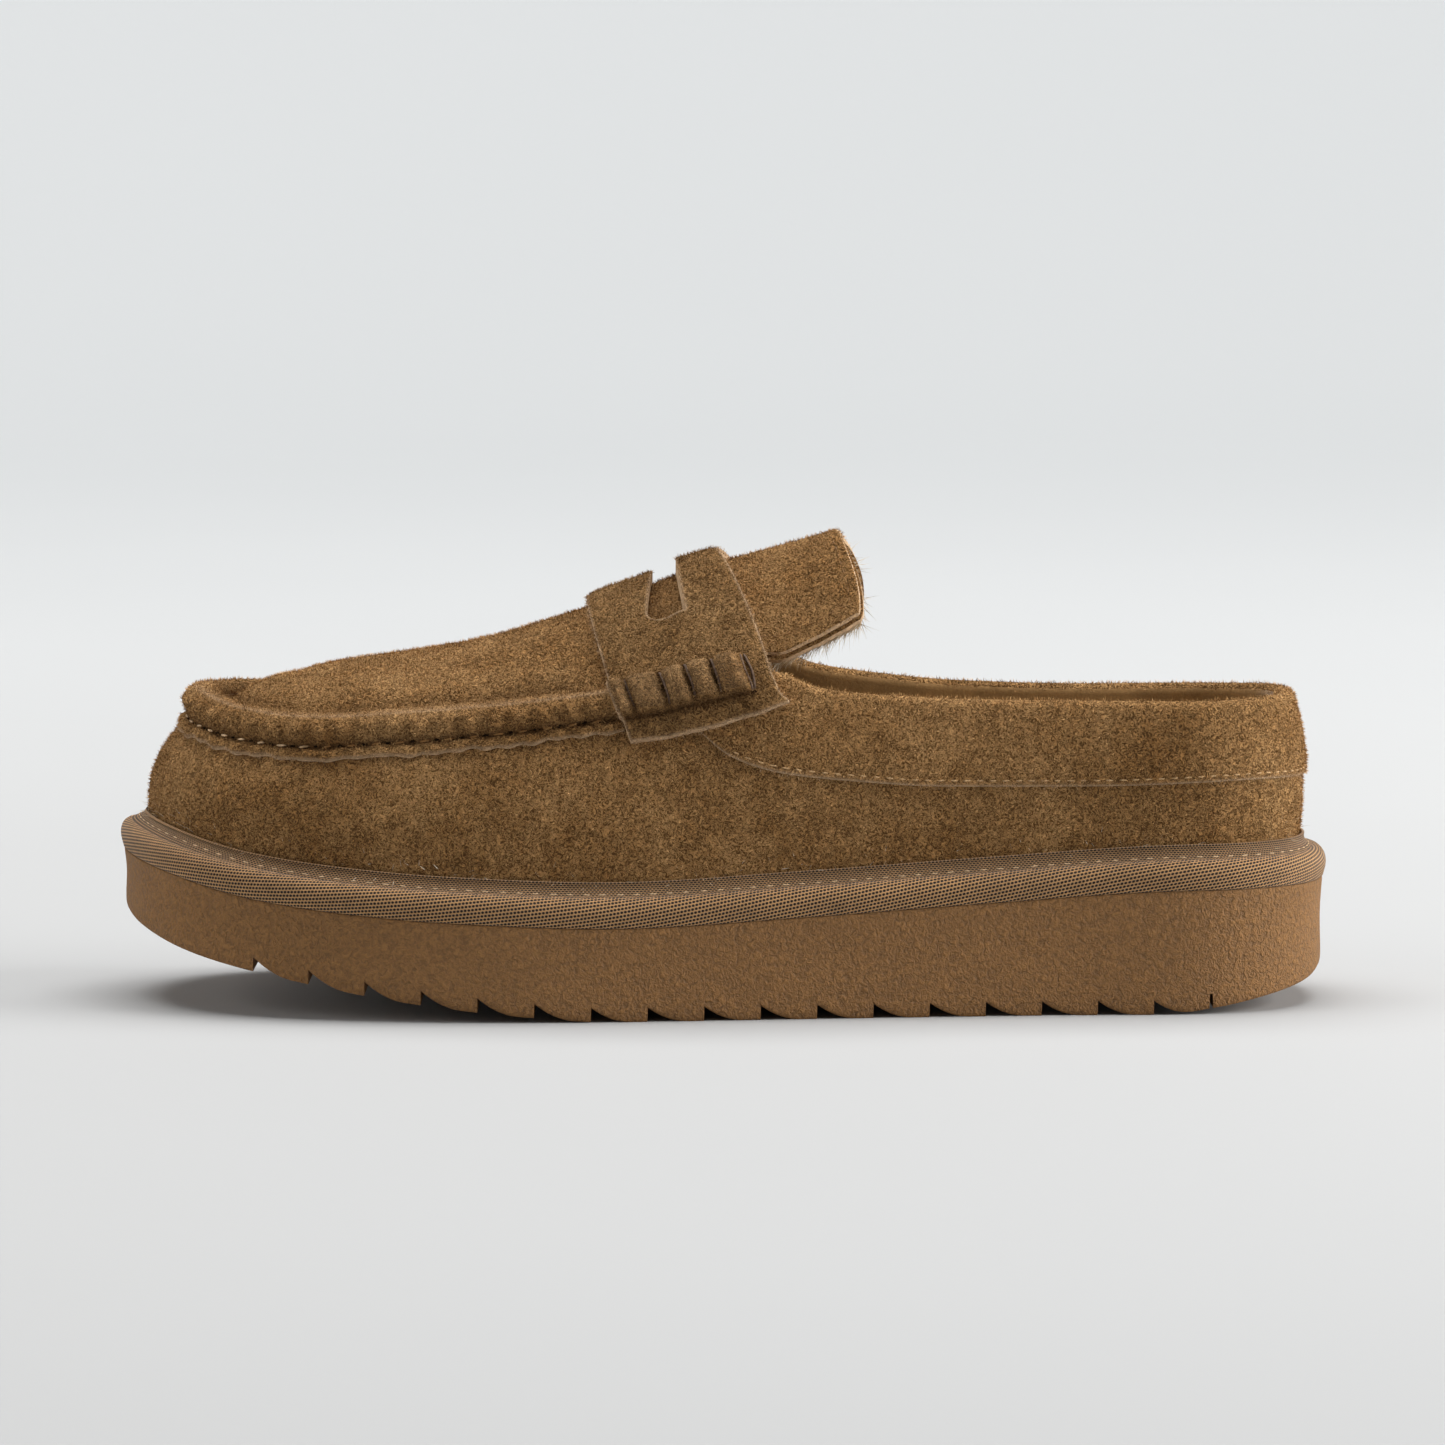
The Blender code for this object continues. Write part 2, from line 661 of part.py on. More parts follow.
def make_saddle_strap():
    def place(a, b, top):
        across = 2 * a - 1
        soft = STRAP_THICKNESS * (1 - 0.2 * abs(2 * b - 1) ** 6)
        return over_strap(across, b, top * soft)

    obj = finish("saddle_strap", bent_slab(28, 6, place))
    cutter = finish("slot_cutter", slot_shape())
    settle(obj, "BOOLEAN", operation="DIFFERENCE", solver="EXACT", object=cutter)
    bpy.data.objects.remove(cutter)
    obj.data.set_sharp_from_angle(angle=math.radians(40))
    return obj


def slot_shape():
    """The slot, as an upright block: its rear edge bows, and its front edge dips in the middle and ends in round
    corners."""
    centre_y = middle(SLOT_REAR)[1]

    def place(a, b, top):
        across = 2 * a - 1
        corner = 1 - max(0.0, 1 - (1 - abs(across)) / SLOT_ROUND) ** 3
        rear = SLOT_REAR - SLOT_BOW * across**2
        width = (SLOT_MIDDLE + (SLOT_END - SLOT_MIDDLE) * abs(across) ** 1.5) * (0.25 + 0.75 * corner)
        return rear + b * width, centre_y + SLOT_HALF * across, INSTEP_HEIGHT * (0.6 + 0.6 * top)

    return bent_slab(16, 1, place)


def make_beefroll(name, side):
    """One end of the strap, bound into rolls over the seam."""
    rolls = len(ROLL_ENDS) - 1

    def place(a, b, top):
        turn = min(int(a * rolls + 1e-6), rolls - 1)
        within = a * rolls - turn
        behind = END_ROLL_START + END_ROLL_LENGTH * (ROLL_ENDS[turn] * (1 - within) + ROLL_ENDS[turn + 1] * within)
        across = seam_place(END_ROLL_WIDTH * (b - 0.5) - END_ROLL_DROP)
        x = strap_front(SEAM_SHARE) - behind
        along = (x - strap_rear(across)) / (strap_front(across) - strap_rear(across))
        lobe = math.sin(math.pi * within) ** 0.6 if 0 < within < 1 else 0
        arch = 1 - abs(2 * b - 1) ** 2.2
        rise = END_ROLL_RISE * (0.14 + arch * (0.36 + 0.5 * lobe))
        clear = STRAP_THICKNESS + 2 * SEAT_GAP
        return over_strap(side * across, along, clear + top * rise)

    return finish(name, bent_slab(4 * rolls, 6, place))


def make_apron_roll():
    """The seam round the apron: a roll above, a crease, and the side's flat edge below it."""
    rows = len(ROLL_SECTION) - 1

    def place(a, b, top):
        distance, rise = ROLL_SECTION[round(b * rows)]
        start = station(strap_front(seam_place(distance)) + 2 * SEAT_GAP)
        u = start + (1 - 2 * start) * a
        return lifted(u, near_seam(u, distance), SEAT_GAP + top * rise)

    return finish("apron_roll", bent_slab(44, rows, place))


def make_collar_band():
    start = station(BAND_START)

    def place(a, b, top):
        u = -start + 2 * start * a
        (x, _), _ = outline(u)
        foot, rim = bed(x), topline(u)[2]
        low = (LAP_HEIGHT(share(x)) * COLLAR_HEIGHT - foot) / (rim - foot)
        high = 1 - BAND_TOP / (rim - foot)
        rise = low + (high - low) * b
        out = normal(skin, u, min(rise, 0.975), 0.002, 0.01)
        return skin(u, rise) + out * (SEAT_GAP + top * BAND_THICKNESS)

    return finish("collar_band", bent_slab(48, 3, place))


def on_tongue(across, along):
    """Top of the tongue: across from -1 to 1, along from 0 at its end to 1 at the throat."""
    part = abs(across)
    corner = max(0.0, (part - 0.72) / 0.28)
    end = -TONGUE_END - TONGUE_SLANT * part**1.5 + TONGUE_CORNER * (1 - math.sqrt(max(0.0, 1 - corner * corner)))
    front = THROAT - TONGUE_EASE
    x = end + (front - end) * along
    centre = middle(x)
    u = station(x)
    top = topline(u) if across > 0 else topline(1 - u)
    across_way = top - centre
    across_way[2] = 0
    half = np.linalg.norm(across_way)
    inside = (half - WALL - TONGUE_EASE) / half * TONGUE_WIDTH(share(x))
    edge_height = top[2] + (centre[2] - top[2]) * (1 - inside**CROWN_CURL) + TONGUE_LIFT * TONGUE_RISE(share(x))
    point = centre + across_way * inside * part
    point[2] = centre[2] + (edge_height - centre[2]) * part**CROWN_CURL
    return point


def make_tongue():
    def place(a, b, top):
        across = 2 * a - 1
        out = normal(on_tongue, across * 0.98, min(max(b, 0.02), 0.98), 0.02, 0.02)
        return on_tongue(across, b) - out * TONGUE_THICKNESS * (1 - top)

    return finish("tongue", bent_slab(16, 6, place))


for leftover in list(bpy.data.objects):
    bpy.data.objects.remove(leftover)

make_outsole()
make_midsole()
make_rand()
make_insole()
make_upper()
make_apron_roll()
make_collar_band()
make_saddle_strap()
make_beefroll("beefroll_lateral", 1)
make_beefroll("beefroll_medial", -1)
make_tongue()
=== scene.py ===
import functools
import math

import bmesh
import bpy
import numpy as np
from mathutils import Matrix, Vector


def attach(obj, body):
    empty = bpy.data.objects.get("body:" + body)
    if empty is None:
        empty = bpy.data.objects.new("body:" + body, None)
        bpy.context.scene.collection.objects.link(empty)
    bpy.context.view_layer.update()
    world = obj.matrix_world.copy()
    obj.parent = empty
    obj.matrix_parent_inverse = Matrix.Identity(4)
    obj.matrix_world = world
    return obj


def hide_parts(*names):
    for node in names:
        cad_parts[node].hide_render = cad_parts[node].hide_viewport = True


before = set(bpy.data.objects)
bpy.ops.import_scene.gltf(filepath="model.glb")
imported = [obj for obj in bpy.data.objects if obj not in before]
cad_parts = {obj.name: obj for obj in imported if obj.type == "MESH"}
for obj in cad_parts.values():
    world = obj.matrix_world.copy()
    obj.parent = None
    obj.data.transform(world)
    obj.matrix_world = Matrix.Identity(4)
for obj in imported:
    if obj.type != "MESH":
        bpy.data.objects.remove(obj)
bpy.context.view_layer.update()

# Main sizes of the shoe
LENGTH = 0.2738  # over the wrapped platform, heel to toe
BALL_WIDTH = 0.101  # over the wrapped platform, at the ball of the foot
INSTEP_HEIGHT = 0.1062  # floor to the middle of the tongue's end
COLLAR_HEIGHT = 0.0701  # floor to the collar at the side
SEAT_GAP = 0.0003  # between pieces that touch

# Sole
OUTSOLE_HEIGHT = 0.0207  # floor to the outsole's top edge at the ball
HEEL_LIFT = 0.0070  # how much higher that edge is at the heel
TOE_SPRING = 0.0131  # and at the toe
TOE_ROCKER = 0.0213  # how far the tread has left the floor at the toe
HEEL_ROCKER = 0.0092
LUG_PITCH = 0.0125
LUG_COUNT = 17
LUG_DEPTH = 0.0032
LUG_RAMP = 0.7  # share of a lug that its curved front takes
FIRST_CUT = 0.0328  # toe end to the first cut in the tread
LUG_STEP = 0.0001  # lean of a lug's rear face
SLIT_WIDTH = 0.0008  # the last cut, under the heel
SOLE_WAIST = 0.0005  # hollow in the outsole's side
BEAD = 0.0008  # how far the wrapped platform stands out over the outsole
WRAP_HEIGHT = 0.0066  # thickness of the wrapped platform
RAND_HEIGHT = 0.0022  # the wrapping tape's edge, sewn up against the upper
RAND_THICKNESS = 0.0009
INSOLE_THICKNESS = 0.0042

# Upper
WALL = 0.0030  # suede with its lining
FOOT_INSET_HEEL = 0.0064  # platform's edge to the foot of the upper
FOOT_INSET_TOE = 0.0069
BELLY = 0.0012  # how far the side of the upper swells
WALL_CURL = 2.4  # how late the side leans in as it rises
CROWN_CURL = 2.1  # how round the apron is across
NOSE_SETBACK = 0.0240  # apron's toe end to where its middle line starts
THROAT = 0.0060  # how far ahead of the middle of the shoe the apron ends, under the strap

# Band round the collar
BAND_THICKNESS = 0.0009
BAND_START = 0.0080  # how far ahead of the middle of the shoe the band starts, under the strap

# Saddle strap and its rolled ends
STRAP_FRONT = 0.0300  # the strap's front edge on top, ahead of the middle of the shoe
STRAP_WIDTH = 0.0296
STRAP_FLARE_FRONT = 0.0090  # how far the edges sweep back on their way down
STRAP_FLARE_REAR = 0.0150
STRAP_THICKNESS = 0.0025
STRAP_STAND = 0.0009  # how far the strap stands off the tongue behind the throat
STAND_RUN = 0.0060  # it gets there over this length
STRAP_TAIL = 0.0095  # the strap's end below the seam
SEAM_SHARE = 0.81  # share of the strap from its middle to the seam
SLOT_HALF = 0.0230
SLOT_MIDDLE = 0.0052  # the slot's width at the middle of the strap
SLOT_END = 0.0088
SLOT_REAR = 0.0106  # the slot's rear edge, ahead of the middle of the shoe
SLOT_BOW = 0.0024  # how far that edge bows back to its ends
SLOT_ROUND = 0.14  # share of the slot's half length that the front edge's round corners take
ROLL_ENDS = (0, 0.09, 0.355, 0.555, 0.76, 1)  # where threads bind each end into rolls, of its length
END_ROLL_RISE = 0.0028
END_ROLL_WIDTH = 0.0078
END_ROLL_DROP = 0.0014  # how far below the seam their middle is
END_ROLL_START = 0.0006  # strap's front edge to the first roll
END_ROLL_LENGTH = 0.0290

# Tongue
TONGUE_END = 0.0262  # how far behind the middle of the shoe its end is
TONGUE_SLANT = 0.0066  # how much further back its corners are
TONGUE_CORNER = 0.0020
TONGUE_EASE = 0.0012  # its edges to the inside of the collar
TONGUE_LIFT = 0.0068  # how far its end corners stand above the collar's own curve

# What only the dressed pieces have
UPPER_WALL = 0.0022  # suede with its thin lining
RIM_RADIUS = 0.0022  # the collar band turns over the collar's edge
RIM_LEG = 0.0100  # and its lining goes this far down inside
RIM_DROP = 0.0034  # the upper's own edge lies this far below the collar's
SEAM_PITCH = 0.0055  # between the stitches round the apron
SEAM_STITCH = 0.0024
LAP_PITCH = 0.0029  # between the stitches of the collar band
LAP_STITCH = 0.0017
LAP_MARGIN = 0.0013  # from the band's cut edge up to its stitches
BAND_WIDTH = 0.014  # of the band on the shoe's side
BAND_SIDE = 0.6  # share of the band's section that lies on the side
BAND_RIM = 0.9  # share at which it has turned over the collar's edge
BAND_SUEDE = 0.84  # share at which its suede ends and its lining starts
TAPE_PITCH = 0.0037
TAPE_STITCH = 0.0017
TAPE_LENGTH = 0.640  # round the platform, for the weave
TAPE_SKEW = 0.9  # how far the weave leans at the heel and the toe
WEAVE_PITCH = 0.00082
RAND_START = 0.0024  # inset at which the flat strip leaves the tape
RAND_LENGTH = 0.620
RAND_WIDTH = 0.0062
RAND_SEWN = 0.32  # share of the strip's width, from the tape, at which it is stitched
NAP_COUNT = 4.4  # fibres to a square millimetre
NAP_LENGTH = 0.0009
NAP_WIDTH = 0.00018
TONGUE_WOOL = (6.0, 0.0042, 0.00015)  # the same three of the wool under the tongue
FOOTBED_WOOL = (2.2, 0.0060, 0.00028)  # and on the footbed
CUT_REACH = 0.00035  # how far from a cut edge the pale split shows, and how wide the painted highlights are
GROOVE = 0.0013  # half width of a roll's groove
ROLL_TOP = 0.78  # the bound rolls' upper and lower creases, in their solids' half widths
ROLL_FOOT = -1.10
HOLLOW_DEPTH = 0.0025  # the apron sinks beside the rolled seam
HOLLOW_AT = 0.0036  # this far up from the seam
HOLLOW_REACH = 0.0032
TOE_HOLLOW = 0.0014  # and this much more at the toe, ahead of TOE_HOLLOW_FROM
TOE_HOLLOW_FROM = 0.0840
TOE_HOLLOW_RUN = 0.0340
CREST_AT = -0.0005  # the rolled seam's crest, up from the seam
LIP_AT = -0.0040  # the roll's lower lip, which the stitches pull in
FLANGE_AT = -0.0047  # the upper end of the flat edge below
FOLD_AT = -0.0050  # the crease between them
SEWN_AT = -0.0051  # and the stitches in it
CREASE_AT = 0.0040  # the middle and reach of the painted shade in the crease behind it
CREASE_REACH = 0.0028
TOE_REACH = 0.018  # stations from the toe within which the apron seam draws in
TONGUE_HALF = 0.030  # the tongue's half width and length, to which its insets are taken
TONGUE_LENGTH = 0.032
TONGUE_MARGIN = 0.0027  # from the tongue's edge in to its stitches
TONGUE_RUN = 0.036  # the length to which those stitches are set in from its end
SHARP = math.radians(50)  # edges that turn by more are shaded sharp

# Outline of the wrapped platform: along, as a share of LENGTH from the heel; outer and inner side, as shares
# of BALL_WIDTH
OUTLINE = (
    (0.000, 0.000, 0.000),
    (0.020, 0.208, -0.208),
    (0.085, 0.342, -0.332),
    (0.185, 0.371, -0.356),
    (0.300, 0.396, -0.361),
    (0.420, 0.434, -0.371),
    (0.540, 0.475, -0.406),
    (0.660, 0.505, -0.460),
    (0.770, 0.490, -0.490),
    (0.870, 0.421, -0.460),
    (0.945, 0.292, -0.361),
    (0.985, 0.129, -0.213),
    (1.000, -0.040, -0.040),
)

# Topline, the apron seam in front and the collar behind: along; lean in from the foot of the upper on the
# outer and the inner side, of BALL_WIDTH; height of the outer and the inner side, of COLLAR_HEIGHT
TOPLINE = (
    (0.00, 0.028, 0.028, 1.000, 1.000),
    (0.03, 0.027, 0.027, 0.996, 0.994),
    (0.10, 0.014, 0.014, 0.992, 0.984),
    (0.20, 0.016, 0.011, 0.995, 0.980),
    (0.30, 0.025, 0.011, 1.003, 0.990),
    (0.38, 0.040, 0.015, 1.022, 1.020),
    (0.42, 0.045, 0.020, 1.045, 1.046),
    (0.445, 0.050, 0.025, 1.086, 1.080),
    (0.465, 0.059, 0.030, 1.099, 1.096),
    (0.50, 0.069, 0.040, 1.072, 1.072),
    (0.55, 0.079, 0.054, 1.032, 1.032),
    (0.62, 0.094, 0.074, 0.990, 0.990),
    (0.70, 0.109, 0.089, 0.952, 0.954),
    (0.77, 0.109, 0.096, 0.930, 0.937),
    (0.86, 0.106, 0.102, 0.910, 0.936),
    (0.93, 0.119, 0.119, 0.924, 0.951),
    (1.00, 0.133, 0.133, 0.960, 0.960),
)

# Middle line of apron and tongue: along; height, of INSTEP_HEIGHT
MIDDLE_LINE = (
    (0.370, 1.028),
    (0.404, 1.000),
    (0.452, 0.964),
    (0.500, 0.930),
    (0.537, 0.901),
    (0.574, 0.866),
    (0.614, 0.830),
    (0.651, 0.799),
    (0.684, 0.773),
    (0.717, 0.754),
    (0.768, 0.733),
    (0.818, 0.714),
    (0.849, 0.698),
)

# Top edge of the outsole: along; share of HEEL_LIFT; share of TOE_SPRING
SOLE_EDGE = (
    (0.000, 1.00, 0.00),
    (0.110, 1.00, 0.00),
    (0.274, 0.67, 0.00),
    (0.437, 0.27, 0.00),
    (0.583, 0.00, 0.00),
    (0.724, 0.00, 0.11),
    (0.800, 0.00, 0.23),
    (0.880, 0.00, 0.43),
    (0.954, 0.00, 0.77),
    (1.000, 0.00, 1.00),
)

# Tread line: along; share of HEEL_ROCKER; share of TOE_ROCKER
TREAD = (
    (0.000, 1.00, 0.00),
    (0.020, 0.65, 0.00),
    (0.060, 0.36, 0.00),
    (0.100, 0.15, 0.00),
    (0.147, 0.00, 0.00),
    (0.590, 0.00, 0.00),
    (0.650, 0.00, 0.05),
    (0.750, 0.00, 0.195),
    (0.850, 0.00, 0.41),
    (0.930, 0.00, 0.62),
    (0.980, 0.00, 0.84),
    (1.000, 0.00, 1.00),
)

# Band round the collar, its lower edge: along; height, of COLLAR_HEIGHT
BAND_EDGE = (
    (0.000, 0.732),
    (0.060, 0.738),
    (0.200, 0.724),
    (0.320, 0.728),
    (0.400, 0.750),
    (0.440, 0.768),
    (0.465, 0.789),
    (0.491, 0.830),
    (0.518, 0.917),
    (0.540, 0.990),
)

# Tongue: along; its edge's height over the collar's own curve, of TONGUE_LIFT; half width, of the throat's
TONGUE_EDGE = (
    (0.360, 1.00, 0.99),
    (0.384, 1.00, 0.99),
    (0.404, 0.62, 0.99),
    (0.426, 0.10, 0.99),
    (0.456, -0.55, 1.00),
    (0.500, -0.36, 1.00),
    (0.530, -0.12, 1.00),
)

# Soft dents: station, rise; depth, and its reach in stations and rise
DENTS = (
    (0.335, 0.50, 0.0004, 0.030, 0.30),
    (0.255, 0.42, 0.0005, 0.022, 0.26),
    (0.190, 0.60, -0.0003, 0.030, 0.30),
    (0.120, 0.45, 0.0004, 0.030, 0.28),
    (0.665, 0.50, 0.0004, 0.030, 0.30),
    (0.780, 0.45, 0.0004, 0.028, 0.30),
    (0.500, 1.30, 0.0010, 0.060, 0.20),
)

# How much longer the strap's tails are than their solids: place from the rear edge to the front one, metres
TAIL_TRIM = ((0.00, -0.0026), (0.22, 0.0011), (0.61, 0.0019), (1.00, 0.0013))

# Rolled seam across, in full: distance from the seam, thickness over the suede
ROLL_PROFILE = (
    (-0.0078, 0.0005),
    (-0.0074, 0.0010),
    (-0.0063, 0.0013),
    (-0.0056, 0.0009),
    (-0.0051, 0.0003),
    (-0.0047, 0.0014),
    (-0.0040, 0.0031),
    (-0.0031, 0.0041),
    (-0.0020, 0.0045),
    (-0.0010, 0.0044),
    (-0.0001, 0.0037),
    (0.0006, 0.0023),
    (0.0011, 0.0004),
)

# Side of the outsole: level from the tread to its top edge; share of SOLE_WAIST inwards
SOLE_WAIST_AT = ((0.00, 0.60), (0.10, 0.70), (0.50, 1.00), (1.00, 0.00))

# Side of the tape: inset from the outline, and height as a share of WRAP_HEIGHT
TAPE_PROFILE = (
    (0.0040, -0.03),
    (0.0010, -0.03),
    (0.0006, 0.02),
    (0.00035, 0.16),
    (0.0001, 0.30),
    (0.0, 0.46),
    (0.0001, 0.60),
    (0.0004, 0.74),
    (0.0009, 0.86),
    (0.0016, 0.95),
    (0.0024, 0.99),
    (0.0034, 0.98),
    (0.0080, 0.95),
)


def smooth_through(places, values):
    """A curve through the points that never overshoots them: cubic pieces with harmonic mean slopes. It is
    kept as a fine table."""
    places = np.array(places, float)
    values = np.array(values, float)
    steps = np.diff(places)
    rises = np.diff(values) / steps
    slopes = np.zeros(len(places))
    slopes[0] = rises[0]
    slopes[-1] = rises[-1]
    for i in range(1, len(places) - 1):
        if rises[i - 1] * rises[i] > 0:
            slopes[i] = 2 * rises[i - 1] * rises[i] / (rises[i - 1] + rises[i])

    asked = np.linspace(places[0], places[-1], 1501)
    i = np.minimum(np.searchsorted(places, asked, side="right") - 1, len(steps) - 1)
    t = (asked - places[i]) / steps[i]
    near = values[i] * (1 + 2 * t) * (1 - t) ** 2 + slopes[i] * steps[i] * t * (1 - t) ** 2
    far = values[i + 1] * t * t * (3 - 2 * t) + slopes[i + 1] * steps[i] * t * t * (t - 1)
    return even_table((near + far).tolist(), float(places[0]), float(places[-1]))


def clamp(value, low=0.0, high=1.0):
    return min(max(value, low), high)


def ease(t):
    """A soft step from 0 to 1."""
    t = clamp(t)
    return t * t * (3 - 2 * t)


def bell(value, reach):
    """1 at 0, fading to 0 on both sides over this reach."""
    return math.exp(-((value / reach) ** 2))


def even_table(values, low, high):
    """A function that reads between evenly spaced values."""
    scale = (len(values) - 1) / (high - low)
    last = len(values) - 2

    def at(place):
        where = (place - low) * scale
        i = clamp(int(where), 0, last)
        t = clamp(where - i)
        return values[i] + (values[i + 1] - values[i]) * t

    return at


def column(table, number):
    """One column of a table as a smooth curve over its first column."""
    return smooth_through([row[0] for row in table], [row[number] for row in table])


def closed_spline(points, per_span):
    """The closed cubic spline through these points, as per_span points from each of them to the next."""
    points = np.array(points, float)
    count = len(points)
    following = np.roll(points, -1, axis=0)
    spans = np.linalg.norm(following - points, axis=1)
    before = np.roll(spans, 1)
    bends = np.zeros((count, count))
    for i in range(count):
        bends[i, i - 1] += before[i]
        bends[i, i] += 2 * (before[i] + spans[i])
        bends[i, (i + 1) % count] += spans[i]
    slope = (following - points) / spans[:, None]
    second = np.linalg.solve(bends, 6 * (slope - np.roll(slope, 1, axis=0)))
    found = []
    for i in range(count):
        j = (i + 1) % count
        for t in np.arange(per_span) / per_span:
            a, b, h = 1 - t, t, spans[i]
            bend = ((a**3 - a) * second[i] + (b**3 - b) * second[j]) * h * h / 6
            found.append(a * points[i] + b * points[j] + bend)
    return np.array(found)


def trace_outline():
    """The platform's outline, centred on the origin, at even stations: 0 at the heel, up the outer side to
    0.5 at the toe, and back down the inner side to 1. Stations u and 1 - u lie across from each other."""
    outer = [(a * LENGTH, o * BALL_WIDTH) for a, o, _ in OUTLINE]
    inner = [(a * LENGTH, i * BALL_WIDTH) for a, _, i in OUTLINE[1:-1]]
    per_span = 60
    points = closed_spline(outer + inner[::-1], per_span)
    toe = (len(outer) - 1) * per_span
    points -= (points.max(axis=0) + points.min(axis=0)) / 2
    outer_side = points[: toe + 1]
    inner_side = np.vstack([points[toe:], points[:1]])[::-1]
    outer_side[:, 0] = np.maximum.accumulate(outer_side[:, 0])
    inner_side[:, 0] = np.maximum.accumulate(inner_side[:, 0])

    def lengths(side):
        run = np.concatenate([[0], np.cumsum(np.linalg.norm(np.diff(side, axis=0), axis=1))])
        return run / run[-1]

    u = np.linspace(0, 1, 1201)
    outer_run, inner_run = lengths(outer_side), lengths(inner_side)
    outer_x = np.interp(u, outer_run, outer_side[:, 0])
    outer_y = np.interp(u, outer_run, outer_side[:, 1])
    level = np.interp(outer_x, inner_side[:, 0], inner_run)
    tips = np.clip(np.minimum(u, 1 - u) / 0.12, 0, 1)
    run = u + (level - u) * tips * tips * (3 - 2 * tips)
    inner_x = np.interp(run, inner_run, inner_side[:, 0])
    inner_y = np.interp(run, inner_run, inner_side[:, 1])
    x = np.concatenate([outer_x, inner_x[::-1][1:]])
    y = np.concatenate([outer_y, inner_y[::-1][1:]])
    return x, y


OUTLINE_X, OUTLINE_Y = trace_outline()
ALONG_AT = even_table(OUTLINE_X.tolist(), 0.0, 1.0)
ASIDE_AT = even_table(OUTLINE_Y.tolist(), 0.0, 1.0)


@functools.lru_cache(maxsize=None)
def outline(u):
    """Point of the outline at a station, and its direction outwards."""
    u %= 1.0
    step = 0.004
    ahead, behind = (u + step) % 1.0, (u - step) % 1.0
    along_x = ALONG_AT(ahead) - ALONG_AT(behind)
    along_y = ASIDE_AT(ahead) - ASIDE_AT(behind)
    size = math.hypot(along_x, along_y)
    return (ALONG_AT(u), ASIDE_AT(u)), (-along_y / size, along_x / size)


def edge(u, inset):
    """Plan point this far inside the outline."""
    (x, y), (out_x, out_y) = outline(u)
    return x - inset * out_x, y - inset * out_y


def share(x):
    """Place along the shoe, 0 at the heel and 1 at the toe."""
    return x / LENGTH + 0.5


def side_station(u):
    """The station on the outer side that lies across from this one, or is it."""
    return min(u % 1.0, 1 - u % 1.0)


HEEL_SHARE, TOE_SHARE = column(SOLE_EDGE, 1), column(SOLE_EDGE, 2)
HEEL_TREAD, TOE_TREAD = column(TREAD, 1), column(TREAD, 2)
LEAN = {1: column(TOPLINE, 1), -1: column(TOPLINE, 2)}
TOP_HEIGHT = {1: column(TOPLINE, 3), -1: column(TOPLINE, 4)}
MIDDLE_HEIGHT = column(MIDDLE_LINE, 1)
LAP_HEIGHT = column(BAND_EDGE, 1)
TONGUE_RISE, TONGUE_WIDTH = column(TONGUE_EDGE, 1), column(TONGUE_EDGE, 2)
TAIL_TRIM_AT = column(TAIL_TRIM, 1)


def sole_edge(x):
    """Height of the outsole's top edge."""
    return OUTSOLE_HEIGHT + HEEL_LIFT * HEEL_SHARE(share(x)) + TOE_SPRING * TOE_SHARE(share(x))


def tread(x):
    """Height of the tread line."""
    return HEEL_ROCKER * HEEL_TREAD(share(x)) + TOE_ROCKER * TOE_TREAD(share(x))


def bed(x):
    """Height at which the upper and the insole stand on the platform."""
    return sole_edge(x) + SEAT_GAP + WRAP_HEIGHT + SEAT_GAP


def foot_inset(x):
    """The platform's edge to the foot of the upper."""
    return FOOT_INSET_HEEL + (FOOT_INSET_TOE - FOOT_INSET_HEEL) * share(x)


@functools.lru_cache(maxsize=None)
def topline(u):
    """Point of the topline at a station."""
    (x, _), _ = outline(u)
    side = 1 if u % 1.0 <= 0.5 else -1
    x_top, y_top = edge(u, foot_inset(x) + LEAN[side](share(x)) * BALL_WIDTH)
    return Vector((x_top, y_top, TOP_HEIGHT[side](share(x)) * COLLAR_HEIGHT))


SIDE_STATIONS = np.linspace(0, 0.5, 251)
TOP_OUTER = np.array([topline(u) for u in SIDE_STATIONS])
TOP_INNER = np.array([topline(1 - u) for u in SIDE_STATIONS])
TOP_MIDDLE = (TOP_OUTER + TOP_INNER) / 2
SEAM_TO_MIDDLE = 0.45 * BALL_WIDTH
NOSE_X = TOP_MIDDLE[-1, 0] - NOSE_SETBACK


def station(x):
    """Station on the outer side whose section crosses the middle line at x. Its other end is 1 minus it."""
    return float(np.interp(x, TOP_MIDDLE[:, 0], SIDE_STATIONS))


def crossing(u):
    """Where a station's section crosses the middle line."""
    return float(np.interp(side_station(u), SIDE_STATIONS, TOP_MIDDLE[:, 0]))


def middle(x):
    """Point of the apron's middle line."""
    x = min(x, NOSE_X)
    y = np.interp(x, TOP_MIDDLE[:, 0], TOP_MIDDLE[:, 1])
    return Vector((x, y, MIDDLE_HEIGHT(share(x)) * INSTEP_HEIGHT))


def beside_roll(distance, x):
    """How far the apron sinks beside the rolled seam, ahead of the strap."""
    beside = HOLLOW_DEPTH * bell(distance - HOLLOW_AT, HOLLOW_REACH)
    beside *= ease((x - STRAP_FRONT + 0.002) / 0.014)
    beside *= ease(distance / 0.002)
    at_nose = ease((x - TOE_HOLLOW_FROM) / TOE_HOLLOW_RUN)
    return beside + TOE_HOLLOW * at_nose * ease((distance - 0.001) / 0.003)


def dent(u, rise):
    """How far the listed soft dents and creases sink the skin here."""
    depth = 0.0
    for at_u, at_rise, deep, reach_u, reach_rise in DENTS:
        gap = ((u - at_u) / reach_u) ** 2 + ((rise - at_rise) / reach_rise) ** 2
        if gap < 9:
            depth += deep * math.exp(-gap)
    return depth


